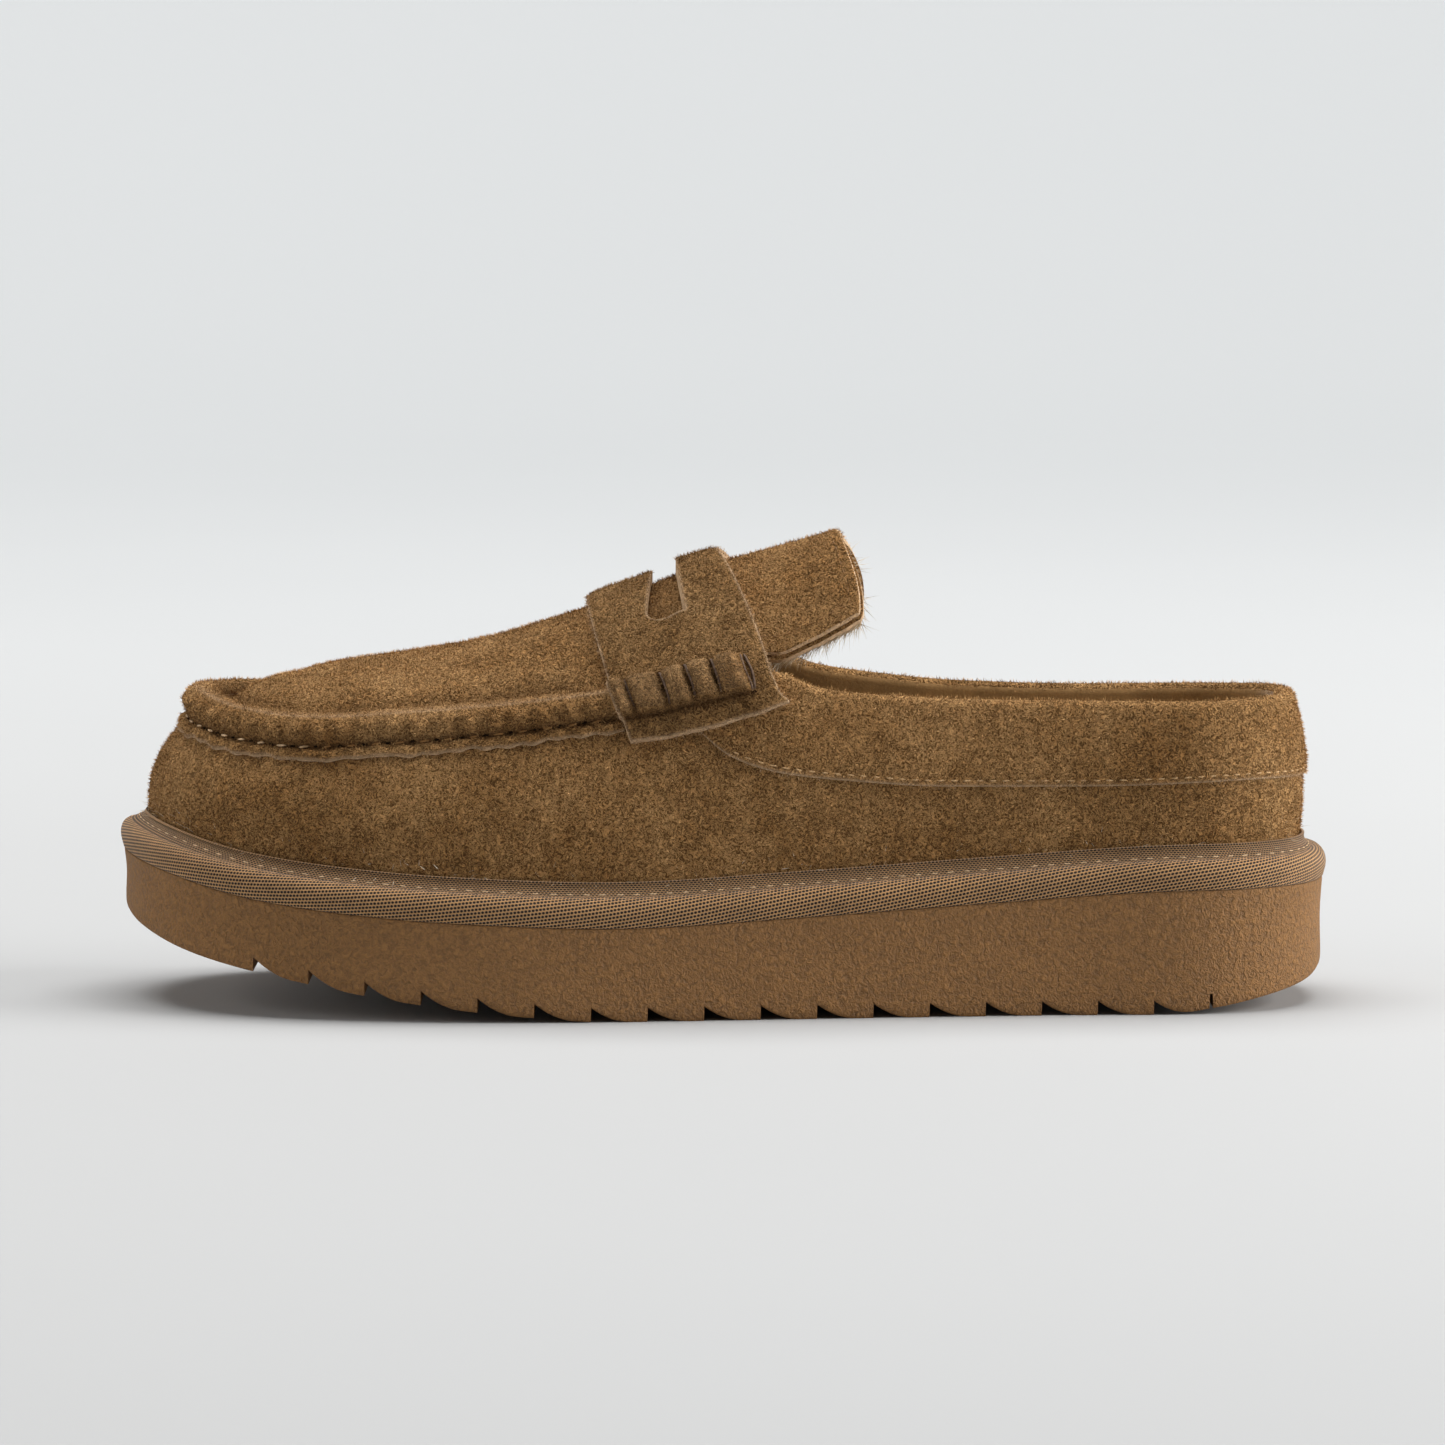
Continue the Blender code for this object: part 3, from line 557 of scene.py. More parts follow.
def skin(u, rise):
    """Outside of the upper. Rise is 0 at its foot, 1 at the topline and 2 at the apron's middle line."""
    if rise <= 1:
        (x, _), _ = outline(u)
        top = topline(u)
        lean = LEAN[1 if u % 1.0 <= 0.5 else -1](share(x)) * BALL_WIDTH
        inset = foot_inset(x)
        swell = BELLY * math.sin(math.pi * rise)
        foot_x, _ = edge(u, inset)
        foot = bed(foot_x)
        x, y = edge(u, inset + lean * max(rise, 0) ** WALL_CURL - swell + dent(u % 1.0, rise))
        return Vector((x, y, foot + (top[2] - foot) * rise))
    top = topline(u)
    x = crossing(u)
    centre = middle(x)
    t = min(rise - 1, 1.0)
    point = top + (centre - top) * t
    point[2] = top[2] + (centre[2] - top[2]) * (1 - (1 - t) ** CROWN_CURL) - dent(u % 1.0, rise)
    point[2] -= beside_roll(t * (centre - top).length, x)
    return point


def normal(place, a, b, step_a, step_b):
    """Unit normal of a surface by small steps; up or outwards for the surfaces used here."""
    along = place(a + step_a, b) - place(a - step_a, b)
    across = place(a, b + step_b) - place(a, b - step_b)
    return across.cross(along).normalized()


def skin_normal(u, rise):
    """Direction outwards from the upper."""
    return normal(skin, u, rise, 0.002, 0.01)


def lifted(u, rise, lift):
    """Point at this height over the outside of the upper."""
    rise = min(rise, 1.985)
    return skin(u, rise) + skin_normal(u, max(rise, 0.01)) * lift


def wall_height(u):
    """From the foot of the upper to its topline."""
    return (topline(u) - skin(u, 0)).length


def near_seam(u, distance):
    """Rise at this distance from the topline, measured up the apron or, below zero, down the side."""
    top = topline(u)
    reach = skin(u, 2) - top if distance > 0 else top - skin(u, 0)
    return 1 + distance / reach.length


def strap_front(across):
    """Front edge of the strap, at this share of the way from its middle to its tail."""
    return STRAP_FRONT - STRAP_FLARE_FRONT * across**2.4


def strap_rear(across):
    """Rear edge of the strap, at this share of the way from its middle to its tail."""
    return STRAP_FRONT - STRAP_WIDTH - STRAP_FLARE_REAR * across**1.5


def strap_width(across):
    """From its rear edge to its front one, there."""
    return strap_front(across) - strap_rear(across)


def seam_place(distance):
    """Share of the strap's length, middle to tail, at this distance from the seam."""
    if distance < 0:
        return SEAM_SHARE - (1 - SEAM_SHARE) * distance / STRAP_TAIL
    return SEAM_SHARE * (1 - distance / SEAM_TO_MIDDLE)


def on_strap(across, along):
    """The upper's skin under a place on the strap: across from -1 to 1, along from 0 at its rear edge to 1 at
    its front one."""
    part = abs(across)
    x = strap_rear(part) + strap_width(part) * along
    u = station(x) if across > 0 else 1 - station(x)
    if part <= SEAM_SHARE:
        return skin(u, 2 - part / SEAM_SHARE)
    down = STRAP_TAIL * (part - SEAM_SHARE) / (1 - SEAM_SHARE)
    down += TAIL_TRIM_AT(clamp(along)) * ease((down - 0.0050) / 0.0045)
    return skin(u, near_seam(u, -down))


def strap_stand(across, along):
    """How far the strap's underside is from that skin: it clears the tongue in the middle, and the collar
    band at its tails."""
    part = abs(across)
    x = strap_rear(part) + strap_width(part) * along
    behind = ease((BAND_START + STAND_RUN - x) / STAND_RUN)
    tail = ease(1 + (part - SEAM_SHARE) / (SEAM_SHARE / 3))
    over_tongue = SEAT_GAP + behind * STRAP_STAND
    over_band = SEAT_GAP + behind * (BAND_THICKNESS + 2 * SEAT_GAP)
    return over_tongue + (over_band - over_tongue) * tail


def strap_normal(across, along):
    """Direction outwards from the strap."""
    return normal(on_strap, across, clamp(along, 0.02, 0.98), 0.03, 0.02)


def over_strap(across, along, lift):
    """Point at this height over the strap's underside."""
    return on_strap(across, along) + strap_normal(across, along) * (strap_stand(across, along) + lift)


def on_tongue(across, along):
    """Top of the tongue: across from -1 to 1, along from 0 at its end to 1 at the throat."""
    part = abs(across)
    corner = max(0.0, (part - 0.72) / 0.28)
    end = -TONGUE_END - TONGUE_SLANT * part**1.5
    end += TONGUE_CORNER * (1 - math.sqrt(max(0.0, 1 - corner * corner)))
    front = THROAT - TONGUE_EASE
    x = end + (front - end) * along
    centre = middle(x)
    u = station(x)
    top = topline(u) if across > 0 else topline(1 - u)
    across_way = top - centre
    across_way[2] = 0
    half = across_way.length
    inside = (half - WALL - TONGUE_EASE) / half * TONGUE_WIDTH(share(x))
    edge_height = top[2] + (centre[2] - top[2]) * (1 - inside**CROWN_CURL)
    edge_height += TONGUE_LIFT * TONGUE_RISE(share(x))
    point = centre + across_way * inside * part
    point[2] = centre[2] + (edge_height - centre[2]) * part**CROWN_CURL
    return point


def under_tongue(across, along, depth):
    """Point at this depth under the top of the tongue, and the direction off it."""
    out = normal(on_tongue, across * 0.98, clamp(along, 0.02, 0.98), 0.02, 0.02)
    return on_tongue(across, along) - out * depth, out


class Wire:
    """A shader socket in Python arithmetic. Each operation adds a Math node."""

    def __init__(self, look, socket):
        self.look = look
        self.socket = socket

    def __add__(self, other):
        return self.look.maths("ADD", self, other)

    def __radd__(self, other):
        return self.look.maths("ADD", other, self)

    def __sub__(self, other):
        return self.look.maths("SUBTRACT", self, other)

    def __rsub__(self, other):
        return self.look.maths("SUBTRACT", other, self)

    def __mul__(self, other):
        return self.look.maths("MULTIPLY", self, other)

    def __rmul__(self, other):
        return self.look.maths("MULTIPLY", other, self)

    def __truediv__(self, other):
        return self.look.maths("DIVIDE", self, other)

    def __abs__(self):
        return self.look.maths("ABSOLUTE", self)


class Look:
    """One material while it is made."""

    def __init__(self, name, **constants):
        self.material = bpy.data.materials.new(name)
        self.material.use_nodes = True
        self.tree = self.material.node_tree
        self.surface = self.tree.nodes["Principled BSDF"]
        for socket, value in constants.items():
            self.surface.inputs[socket.replace("_", " ")].default_value = value

    def node(self, kind, settings=(), inputs=(), output=0):
        """Adds a node: its settings first, then what its sockets hold or are linked to."""
        made = self.tree.nodes.new(kind)
        for setting, value in dict(settings).items():
            setattr(made, setting, value)
        for socket, value in dict(inputs).items():
            if isinstance(value, Wire):
                self.tree.links.new(value.socket, made.inputs[socket])
            else:
                made.inputs[socket].default_value = value
        return Wire(self, made.outputs[output])

    def maths(self, operation, *values):
        return self.node("ShaderNodeMath", {"operation": operation}, enumerate(values))

    def mix(self, share_of_b, a, b):
        """A colour between two colours."""
        return self.node("ShaderNodeMix", {"data_type": "RGBA"}, {0: share_of_b, 6: a, 7: b}, 2)

    def place(self):
        return self.node("ShaderNodeTexCoord", output="Object")

    def stretched(self, where, scale, turn=(0, 0, 0)):
        return self.node("ShaderNodeMapping", (), {"Vector": where, "Scale": scale, "Rotation": turn})

    def noise(self, where, size, detail=2.0, rough=0.5, swirl=0.0):
        """Soft noise whose patches are about this many metres across."""
        sockets = {"Vector": where, "Scale": 1 / size, "Detail": detail}
        sockets.update({"Roughness": rough, "Distortion": swirl})
        return self.node("ShaderNodeTexNoise", (), sockets)

    def limited(self, value, low, high):
        """The value's place between low and high, kept from 0 to 1."""
        sockets = {0: value, 1: low, 2: high, 3: 0.0, 4: 1.0}
        return self.node("ShaderNodeMapRange", {"clamp": True}, sockets)

    def bump(self, height, distance, strength=1.0):
        sockets = {"Height": height, "Distance": distance, "Strength": strength}
        return self.node("ShaderNodeBump", (), sockets)

    def wear(self, **outputs):
        """Feeds the shader's own sockets, and gives the material."""
        for socket, value in outputs.items():
            self.tree.links.new(value.socket, self.surface.inputs[socket.replace("_", " ")])
        return self.material


def shade(colour, by):
    """A colour this much lighter or darker."""
    return (colour[0] * by, colour[1] * by, colour[2] * by, 1)


# Colours, as linear red, green and blue
SUEDE = (0.335, 0.169, 0.057)
# The nap's golden tip is a painted sheen; the same colour is also the suede's paler brushed tone
SUEDE_TIP = (0.750, 0.452, 0.196)
# Painted shade: at the nap's roots, and in creases, grooves and the strap's slot
SUEDE_ROOT = (0.095, 0.038, 0.011)
# The pale split of cut edges, also used as painted highlights on the rolled seam's crest and the roll tops
CUT_EDGE = (0.600, 0.405, 0.240)
RUBBER = (0.275, 0.136, 0.046)
TAPE = (0.330, 0.180, 0.072)
FLEECE = (0.640, 0.460, 0.270)
PALE_WOOL = (0.84, 0.76, 0.62)
LINING = (0.330, 0.190, 0.075)
TAN_THREAD = (0.720, 0.500, 0.290)
SUEDE_THREAD = (0.580, 0.370, 0.180)
DARK_THREAD = (0.125, 0.078, 0.052)
HOLE = (0.020, 0.011, 0.006)
PAPER = ((0.432, 0.434, 0.433, 1), (0.452, 0.454, 0.453, 1))
PAPER_GLOW = (0.570, 0.587, 0.593, 1)
DAYLIGHT = (0.98, 0.99, 1.0, 1)

# The lamps: name, place, what it points at, size and watts
LAMP_HEIGHT = 1.7
LAMPS = (
    ("overhead", (0.0, -0.26, LAMP_HEIGHT), (0, 0, 0), (1.8, 1.4), 44),
    ("left_fill", (1.5, 0.5, 0.75), (0, 0, 0.04), (0.9, 0.9), 8),
    ("right_fill", (-1.6, 0.22, 0.6), (0, 0, 0.04), (1.0, 1.0), 35),
)
WORLD_LIGHT = 0.09

# The photograph's view: from the outer side, a little above
CAMERA_AT = (0, 1.55, 0.2056)
CAMERA_PITCH = math.radians(5.29)  # how far it looks down
CAMERA_LENS = 171.1  # millimetres, on a sensor 36 mm wide


def brushed(look, where):
    """Where the nap lies light or dark: soft patches and shorter strokes."""
    wide = look.noise(where, 0.020, 2.0, 0.5, 0.6)
    strokes = look.noise(look.stretched(where, (1.0, 1.0, 0.55)), 0.0048, 3.0, 0.6, 1.2)
    return look.limited(wide * 0.55 + strokes * 0.45, 0.34, 0.66)


def read(look, name):
    """A piece's own value by its name: the paleness of cut edges and painted highlights, or painted shade."""
    return look.node("ShaderNodeAttribute", {"attribute_name": name}, output="Fac")


def suede(name, colour=SUEDE, level=1.0):
    """Brushed suede: curly fibres over darker pits, in patches where the nap lies another way."""
    look = Look(name, Roughness=0.95, Sheen_Weight=0.06, Sheen_Roughness=0.5, Specular_IOR_Level=0.08)
    look.surface.inputs["Sheen Tint"].default_value = (1.0, 0.74, 0.42, 1)
    where = look.place()
    curls = look.noise(where, 0.0013, 2.0, 0.6, 1.8)
    fine = look.noise(where, 0.00055, 2.0, 0.6, 1.0)
    fibres = 1 - look.limited(abs(curls - 0.5), 0.0, 0.13)
    grain = look.limited(fibres * 0.45 + fine * 0.55, 0.30, 0.72)
    patches = brushed(look, where)
    base = look.mix(grain, shade(colour, 0.28 * level), shade(colour, 1.55 * level))
    lit = look.mix(grain, shade(colour, 0.50 * level), shade(SUEDE_TIP, 0.95 * level))
    height = fibres * 0.6 + fine * 0.6 + curls * 0.4
    # Pale near cut edges, and a painted highlight on the rolled seam's crest and on the strap's roll tops
    cut = look.mix(fine, shade(CUT_EDGE, 0.6), shade(CUT_EDGE, 1.2))
    colour_at = look.mix(read(look, "cut"), look.mix(patches * 0.75, base, lit), cut)
    # Painted shade in creases, grooves and the strap's slot
    colour_at = look.mix(read(look, "dim") * 0.8, colour_at, shade(SUEDE_ROOT, 0.7))
    return look.wear(Base_Color=colour_at, Normal=look.bump(height, 0.0006, 1.0))


def nap(name, level=1.0):
    """The suede's fibres: painted shade at the root, a golden painted sheen at the tip, and lighter where the
    nap is brushed up.
    """
    look = Look(name, Roughness=0.9, Specular_IOR_Level=0.06)
    patches = brushed(look, look.place())
    own = look.limited(read(look, "tint") + patches * 0.7, 0.35, 1.35)
    body = look.mix(own, shade(SUEDE, 0.45 * level), shade(SUEDE_TIP, 1.20 * level))
    # Pale near cut edges and on painted highlights, then painted shade in creases, grooves and the slot
    body = look.mix(read(look, "cut") * 0.7, body, shade(CUT_EDGE, 1.2))
    body = look.mix(read(look, "dim") * 0.75, body, shade(SUEDE_ROOT, 1.0))
    # Painted shade at each fibre's root
    up = look.limited(read(look, "tip"), 0.0, 0.6)
    return look.wear(Base_Color=look.mix(up, shade(SUEDE_ROOT, level), body))


def cut_edge(name):
    """A raw cut edge of suede: the paler, greyer split fibres."""
    look = Look(name, Roughness=0.95, Specular_IOR_Level=0.1)
    where = look.place()
    lumps = look.noise(where, 0.0009, 3.0, 0.6, 0.8)
    colour = look.mix(look.limited(lumps, 0.35, 0.65), shade(CUT_EDGE, 0.62), shade(CUT_EDGE, 1.12))
    return look.wear(Base_Color=colour, Normal=look.bump(lumps, 0.0004, 0.9))


def rubber(name):
    """Matt foamed rubber with a fine pebbled skin."""
    look = Look(name, Specular_IOR_Level=0.3)
    where = look.place()
    pebbles = look.noise(where, 0.0010, 2.0, 0.55, 0.9)
    pores = look.noise(where, 0.00038, 2.0, 0.6)
    wide = look.noise(where, 0.018, 3.0, 0.6)
    grain = look.limited(pebbles * 0.7 + pores * 0.3, 0.36, 0.64)
    tone = look.limited(wide, 0.3, 0.7)
    pale = look.mix(tone, shade(RUBBER, 1.12), shade(RUBBER, 1.24))
    colour = look.mix(grain, shade(RUBBER, 0.66), pale)
    return look.wear(
        Base_Color=colour,
        Roughness=0.62 + 0.2 * grain,
        Normal=look.bump(pebbles * 0.8 + pores * 0.2, 0.0013, 1.0),
    )


def webbing(name, colour, pitch_along, pitch_across, slip, bias):
    """Woven tape: rows of raised yarns with dark pits between them, on the piece's own UV map in metres.
    slip is how far each row is shifted, and bias how much the rows run askew."""
    look = Look(name, Roughness=0.8, Sheen_Weight=0.15, Specular_IOR_Level=0.25)
    where = look.node("ShaderNodeUVMap", {"uv_map": "cloth"})
    apart = look.node("ShaderNodeSeparateXYZ", (), {0: where})
    aside = look.node("ShaderNodeSeparateXYZ", (), {0: where}, 1)
    row = (aside + apart * bias) / pitch_across
    number = look.maths("FLOOR", row)
    column_at = (apart - aside * bias) / pitch_along + number * slip
    from_pit_along = abs(look.maths("FRACT", column_at) - 0.5)
    from_pit_across = abs(look.maths("FRACT", row) - 0.5)
    gap = look.maths("SQRT", from_pit_along * from_pit_along + from_pit_across * from_pit_across * 1.3)
    yarn = look.limited(gap, 0.34, 0.49)
    loose = look.noise(look.place(), 0.0011, 3.0, 0.6)
    wide = look.noise(look.place(), 0.012, 2.0, 0.5)
    tone = look.limited(loose * 0.6 + wide * 0.4, 0.35, 0.65)
    yarn_colour = look.mix(tone, shade(colour, 1.35), shade(colour, 1.85))
    return look.wear(
        Base_Color=look.mix(yarn, shade(colour, 0.08), yarn_colour),
        Normal=look.bump(yarn + 0.25 * loose, 0.0005, 1.0),
    )


def velvet(name, colour):
    """Smooth short velvet of the lining."""
    look = Look(name, Roughness=0.9, Sheen_Weight=0.5, Sheen_Roughness=0.35, Specular_IOR_Level=0.1)
    where = look.place()
    fine = look.noise(where, 0.0006, 3.0, 0.6, 0.5)
    wide = look.noise(where, 0.010, 3.0, 0.55, 0.8)
    tone = look.limited(fine * 0.45 + wide * 0.55, 0.36, 0.64)
    return look.wear(
        Base_Color=look.mix(tone, shade(colour, 0.78), shade(colour, 1.2)),
        Normal=look.bump(fine, 0.0002, 0.6),
    )


def fleece(name):
    """Curly woollen pile."""
    look = Look(name, Roughness=0.95, Sheen_Weight=0.3, Specular_IOR_Level=0.1)
    where = look.place()
    curls = look.noise(where, 0.0022, 3.0, 0.6, 2.2)
    tufts = look.noise(where, 0.0065, 2.0, 0.5, 0.8)
    tone = look.limited(curls * 0.6 + tufts * 0.4, 0.36, 0.64)
    return look.wear(
        Base_Color=look.mix(tone, shade(FLEECE, 0.55), shade(FLEECE, 1.1)),
        Normal=look.bump(curls * 0.6 + tufts * 0.4, 0.0014, 0.9),
    )


def fleece_fibre(name):
    """The pile's hairs: darker at the root, some of them nearly white."""
    look = Look(name, Roughness=0.9, Specular_IOR_Level=0.15)
    body = look.mix(read(look, "tint"), shade(FLEECE, 0.95), shade(PALE_WOOL, 1))
    up = look.limited(read(look, "tip"), 0.0, 0.6)
    return look.wear(Base_Color=look.mix(up, shade(FLEECE, 0.6), body))


def sewing_thread(name, colour, shine=0.45, worn_from=None):
    """Waxed thread, its twist seen as fine slanting bands. Behind worn_from it has taken the suede's
    colour."""
    twists_per_metre = 700.0
    look = Look(name, Specular_IOR_Level=0.2)
    where = look.place()
    sockets = {"Vector": where, "Scale": twists_per_metre}
    twist = look.node("ShaderNodeTexWave", {"bands_direction": "DIAGONAL"}, sockets)
    wear_and_highlight = look.noise(where, 0.002, 2.0, 0.6)
    tone = look.limited(twist * 0.4 + wear_and_highlight * 0.6, 0.25, 0.75)
    colour_at = look.mix(tone, shade(colour, 0.75), shade(colour, 1.2))
    if worn_from:
        along = look.node("ShaderNodeSeparateXYZ", (), {0: where})
        fresh = look.limited(along, worn_from, worn_from + 0.008)
        colour_at = look.mix(fresh, shade(SUEDE, 0.9), colour_at)
    return look.wear(Base_Color=colour_at, Roughness=shine + 0.2 * wear_and_highlight, Normal=look.bump(twist, 0.0001, 0.6))


def dark_hole(name):
    """The shade inside a stitch's hole."""
    return Look(name, Roughness=1.0, Specular_IOR_Level=0.0, Base_Color=shade(HOLE, 1)).material


def paper_floor(name):
    """Pale paper. Behind the shoe, where the overhead lamp fades, it glows by as much as it would lose."""
    look = Look(name, Roughness=0.9, Specular_IOR_Level=0.1, Emission_Strength=1.0)
    where = look.place()
    faint = look.noise(where, 0.4, 2.0, 0.5)
    far = look.node("ShaderNodeVectorMath", {"operation": "LENGTH"}, {0: where}, 1) / LAMP_HEIGHT
    kept = look.maths("DIVIDE", 1.0, 1 + far * far)
    behind = look.limited(look.node("ShaderNodeSeparateXYZ", (), {0: where}, 1), 0.8, -0.4)
    glow = look.mix((1 - kept * kept) * behind, (0, 0, 0, 1), PAPER_GLOW)
    return look.wear(Base_Color=look.mix(faint, *PAPER), Emission_Color=glow)


def mesh_from(name, bm):
    """Turns a bmesh into a mesh."""
    mesh = bpy.data.meshes.new(name)
    bm.to_mesh(mesh)
    bm.free()
    return mesh


def put(name, data):
    """Puts a new object in the scene."""
    obj = bpy.data.objects.new(name, data)
    bpy.context.scene.collection.objects.link(obj)
    return obj


def finish(name, bm, *looks):
    """Turns a bmesh into a named object with these materials."""
    bmesh.ops.recalc_face_normals(bm, faces=bm.faces[:])
    if bm.calc_volume(signed=True) < 0:
        bmesh.ops.reverse_faces(bm, faces=bm.faces[:])
    mesh = mesh_from(name, bm)
    mesh.shade_smooth()
    mesh.set_sharp_from_angle(angle=SHARP)
    for look in looks:
        mesh.materials.append(look)
    return put(name, mesh)


def dress(obj, slot, *nodes):
    """Lets a piece ride with the shoe and stand for these nodes."""
    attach(obj, "root")
    if nodes:
        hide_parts(*nodes)
    return obj


def settle(obj, kind, **settings):
    """Adds a modifier, and keeps its result as the object's own mesh."""
    modifier = obj.modifiers.new(kind.lower(), kind)
    for setting, value in settings.items():
        setattr(modifier, setting, value)
    result = obj.evaluated_get(bpy.context.evaluated_depsgraph_get())
    mesh = bpy.data.meshes.new_from_object(result)
    obj.modifiers.clear()
    obj.data = mesh


def bent_sheet(bm, columns, rows, place, cloth=(1, 1), hairy=None, painted_shade_at=None):
    """A grid bent to shape. place(a, b) gives a corner, with a and b from 0 to 1 along its columns and rows.
    cloth is the size in metres of its UV map, hairy(a, b) says how much nap grows there, and the last
    function how much painted shade lies there."""
    flat, growth, _, dim = marks(bm)
    corners = flat_grid(bm, columns, rows)
    mark_cloth(flat, corners, cloth)
    for corner in corners:
        a, b = corner.co.x, corner.co.y
        corner[growth] = hairy(a, b) if hairy else 0.0
        corner[dim] = painted_shade_at(a, b) if painted_shade_at else 0.0
        corner.co = place(a, b)


def flat_grid(bm, columns, rows):
    """A flat grid from 0 to 1 both ways."""
    corners = bmesh.ops.create_grid(bm, x_segments=columns, y_segments=rows, size=0.5)["verts"]
    bmesh.ops.translate(bm, vec=(0.5, 0.5, 0), verts=corners)
    return corners


def marks(bm):
    """The bmesh's UV map, and its corners' values: how much nap they grow, how near a cut edge or a painted
    highlight they are, and how much painted shade they carry."""
    values = bm.verts.layers.float
    if not values.get("nap"):
        bm.loops.layers.uv.new("cloth")
        for name in ("nap", "cut", "dim"):
            values.new(name)
    return bm.loops.layers.uv["cloth"], values["nap"], values["cut"], values["dim"]


def mark_cloth(flat, corners, cloth):
    """Writes the flat grid's own places into its UV map."""
    for face in {face for corner in corners for face in corner.link_faces}:
        for loop in face.loops:
            loop[flat].uv = (loop.vert.co.x * cloth[0], loop.vert.co.y * cloth[1])


def everywhere(*_):
    """The nap of a piece that is hairy all over."""
    return 1.0


def bent_slab(
    columns, rows, place, ring=False, cloth=(1, 1), hairy=None, cut_and_highlight_gap=None, painted_shade_at=None, lined=None
):
    """A slab bent to shape. place(a, b, top) gives a corner: a and b as for a sheet, and top is 0 on the
    slab's inside and 1 on its outside. A ring's first and last columns meet. Its edges take the second
    material, and its faces the third where lined(b) says so. Its gap function is how far a place is from a
    raw cut edge or a painted highlight, and its shade function how much painted shade lies there."""
    bm = bmesh.new()
    flat, growth, cut, dim = marks(bm)
    flat_grid(bm, columns, rows)
    raised = bmesh.ops.extrude_face_region(bm, geom=bm.faces[:])["geom"]
    bmesh.ops.translate(bm, vec=(0, 0, 1), verts=[v for v in raised if isinstance(v, bmesh.types.BMVert)])
    if ring:
        ends = [f for f in bm.faces if abs(abs(f.calc_center_median().x - 0.5) - 0.5) < 1e-6]
        bmesh.ops.delete(bm, geom=ends, context="FACES")
    mark_cloth(flat, bm.verts[:], cloth)
    for face in bm.faces:
        middle_at = face.calc_center_median()
        face.material_index = 0 if abs(middle_at.z - 0.5) > 0.1 else 1
        if lined and lined(middle_at.y):
            face.material_index = 2
    for corner in bm.verts:
        a, b, top = corner.co
        corner[growth] = hairy(a, b) if hairy and top > 0.5 else 0.0
        # Paleness near raw cut edges and on painted highlights, then painted shade
        corner[cut] = bell(cut_and_highlight_gap(a, b), CUT_REACH) if cut_and_highlight_gap else 0.0
        corner[dim] = painted_shade_at(a, b) if painted_shade_at else 0.0
        corner.co = place(a, b, top)
    if ring:
        bmesh.ops.remove_doubles(bm, verts=bm.verts, dist=1e-6)
    return bm


def hair_template(name, length, width):
    """One fibre: a thin upright triangle, marked from root to tip."""
    bm = bmesh.new()
    tip = bm.verts.layers.float.new("tip")
    corners = bmesh.ops.create_circle(bm, segments=3, cap_ends=True, radius=1)["verts"]
    for corner, (x, z) in zip(corners, ((-0.5, 0), (0.5, 0), (0, 1))):
        corner.co = (x * width, 0, z * length)
        corner[tip] = z
    return bpy.data.objects.new(name, mesh_from(name, bm))


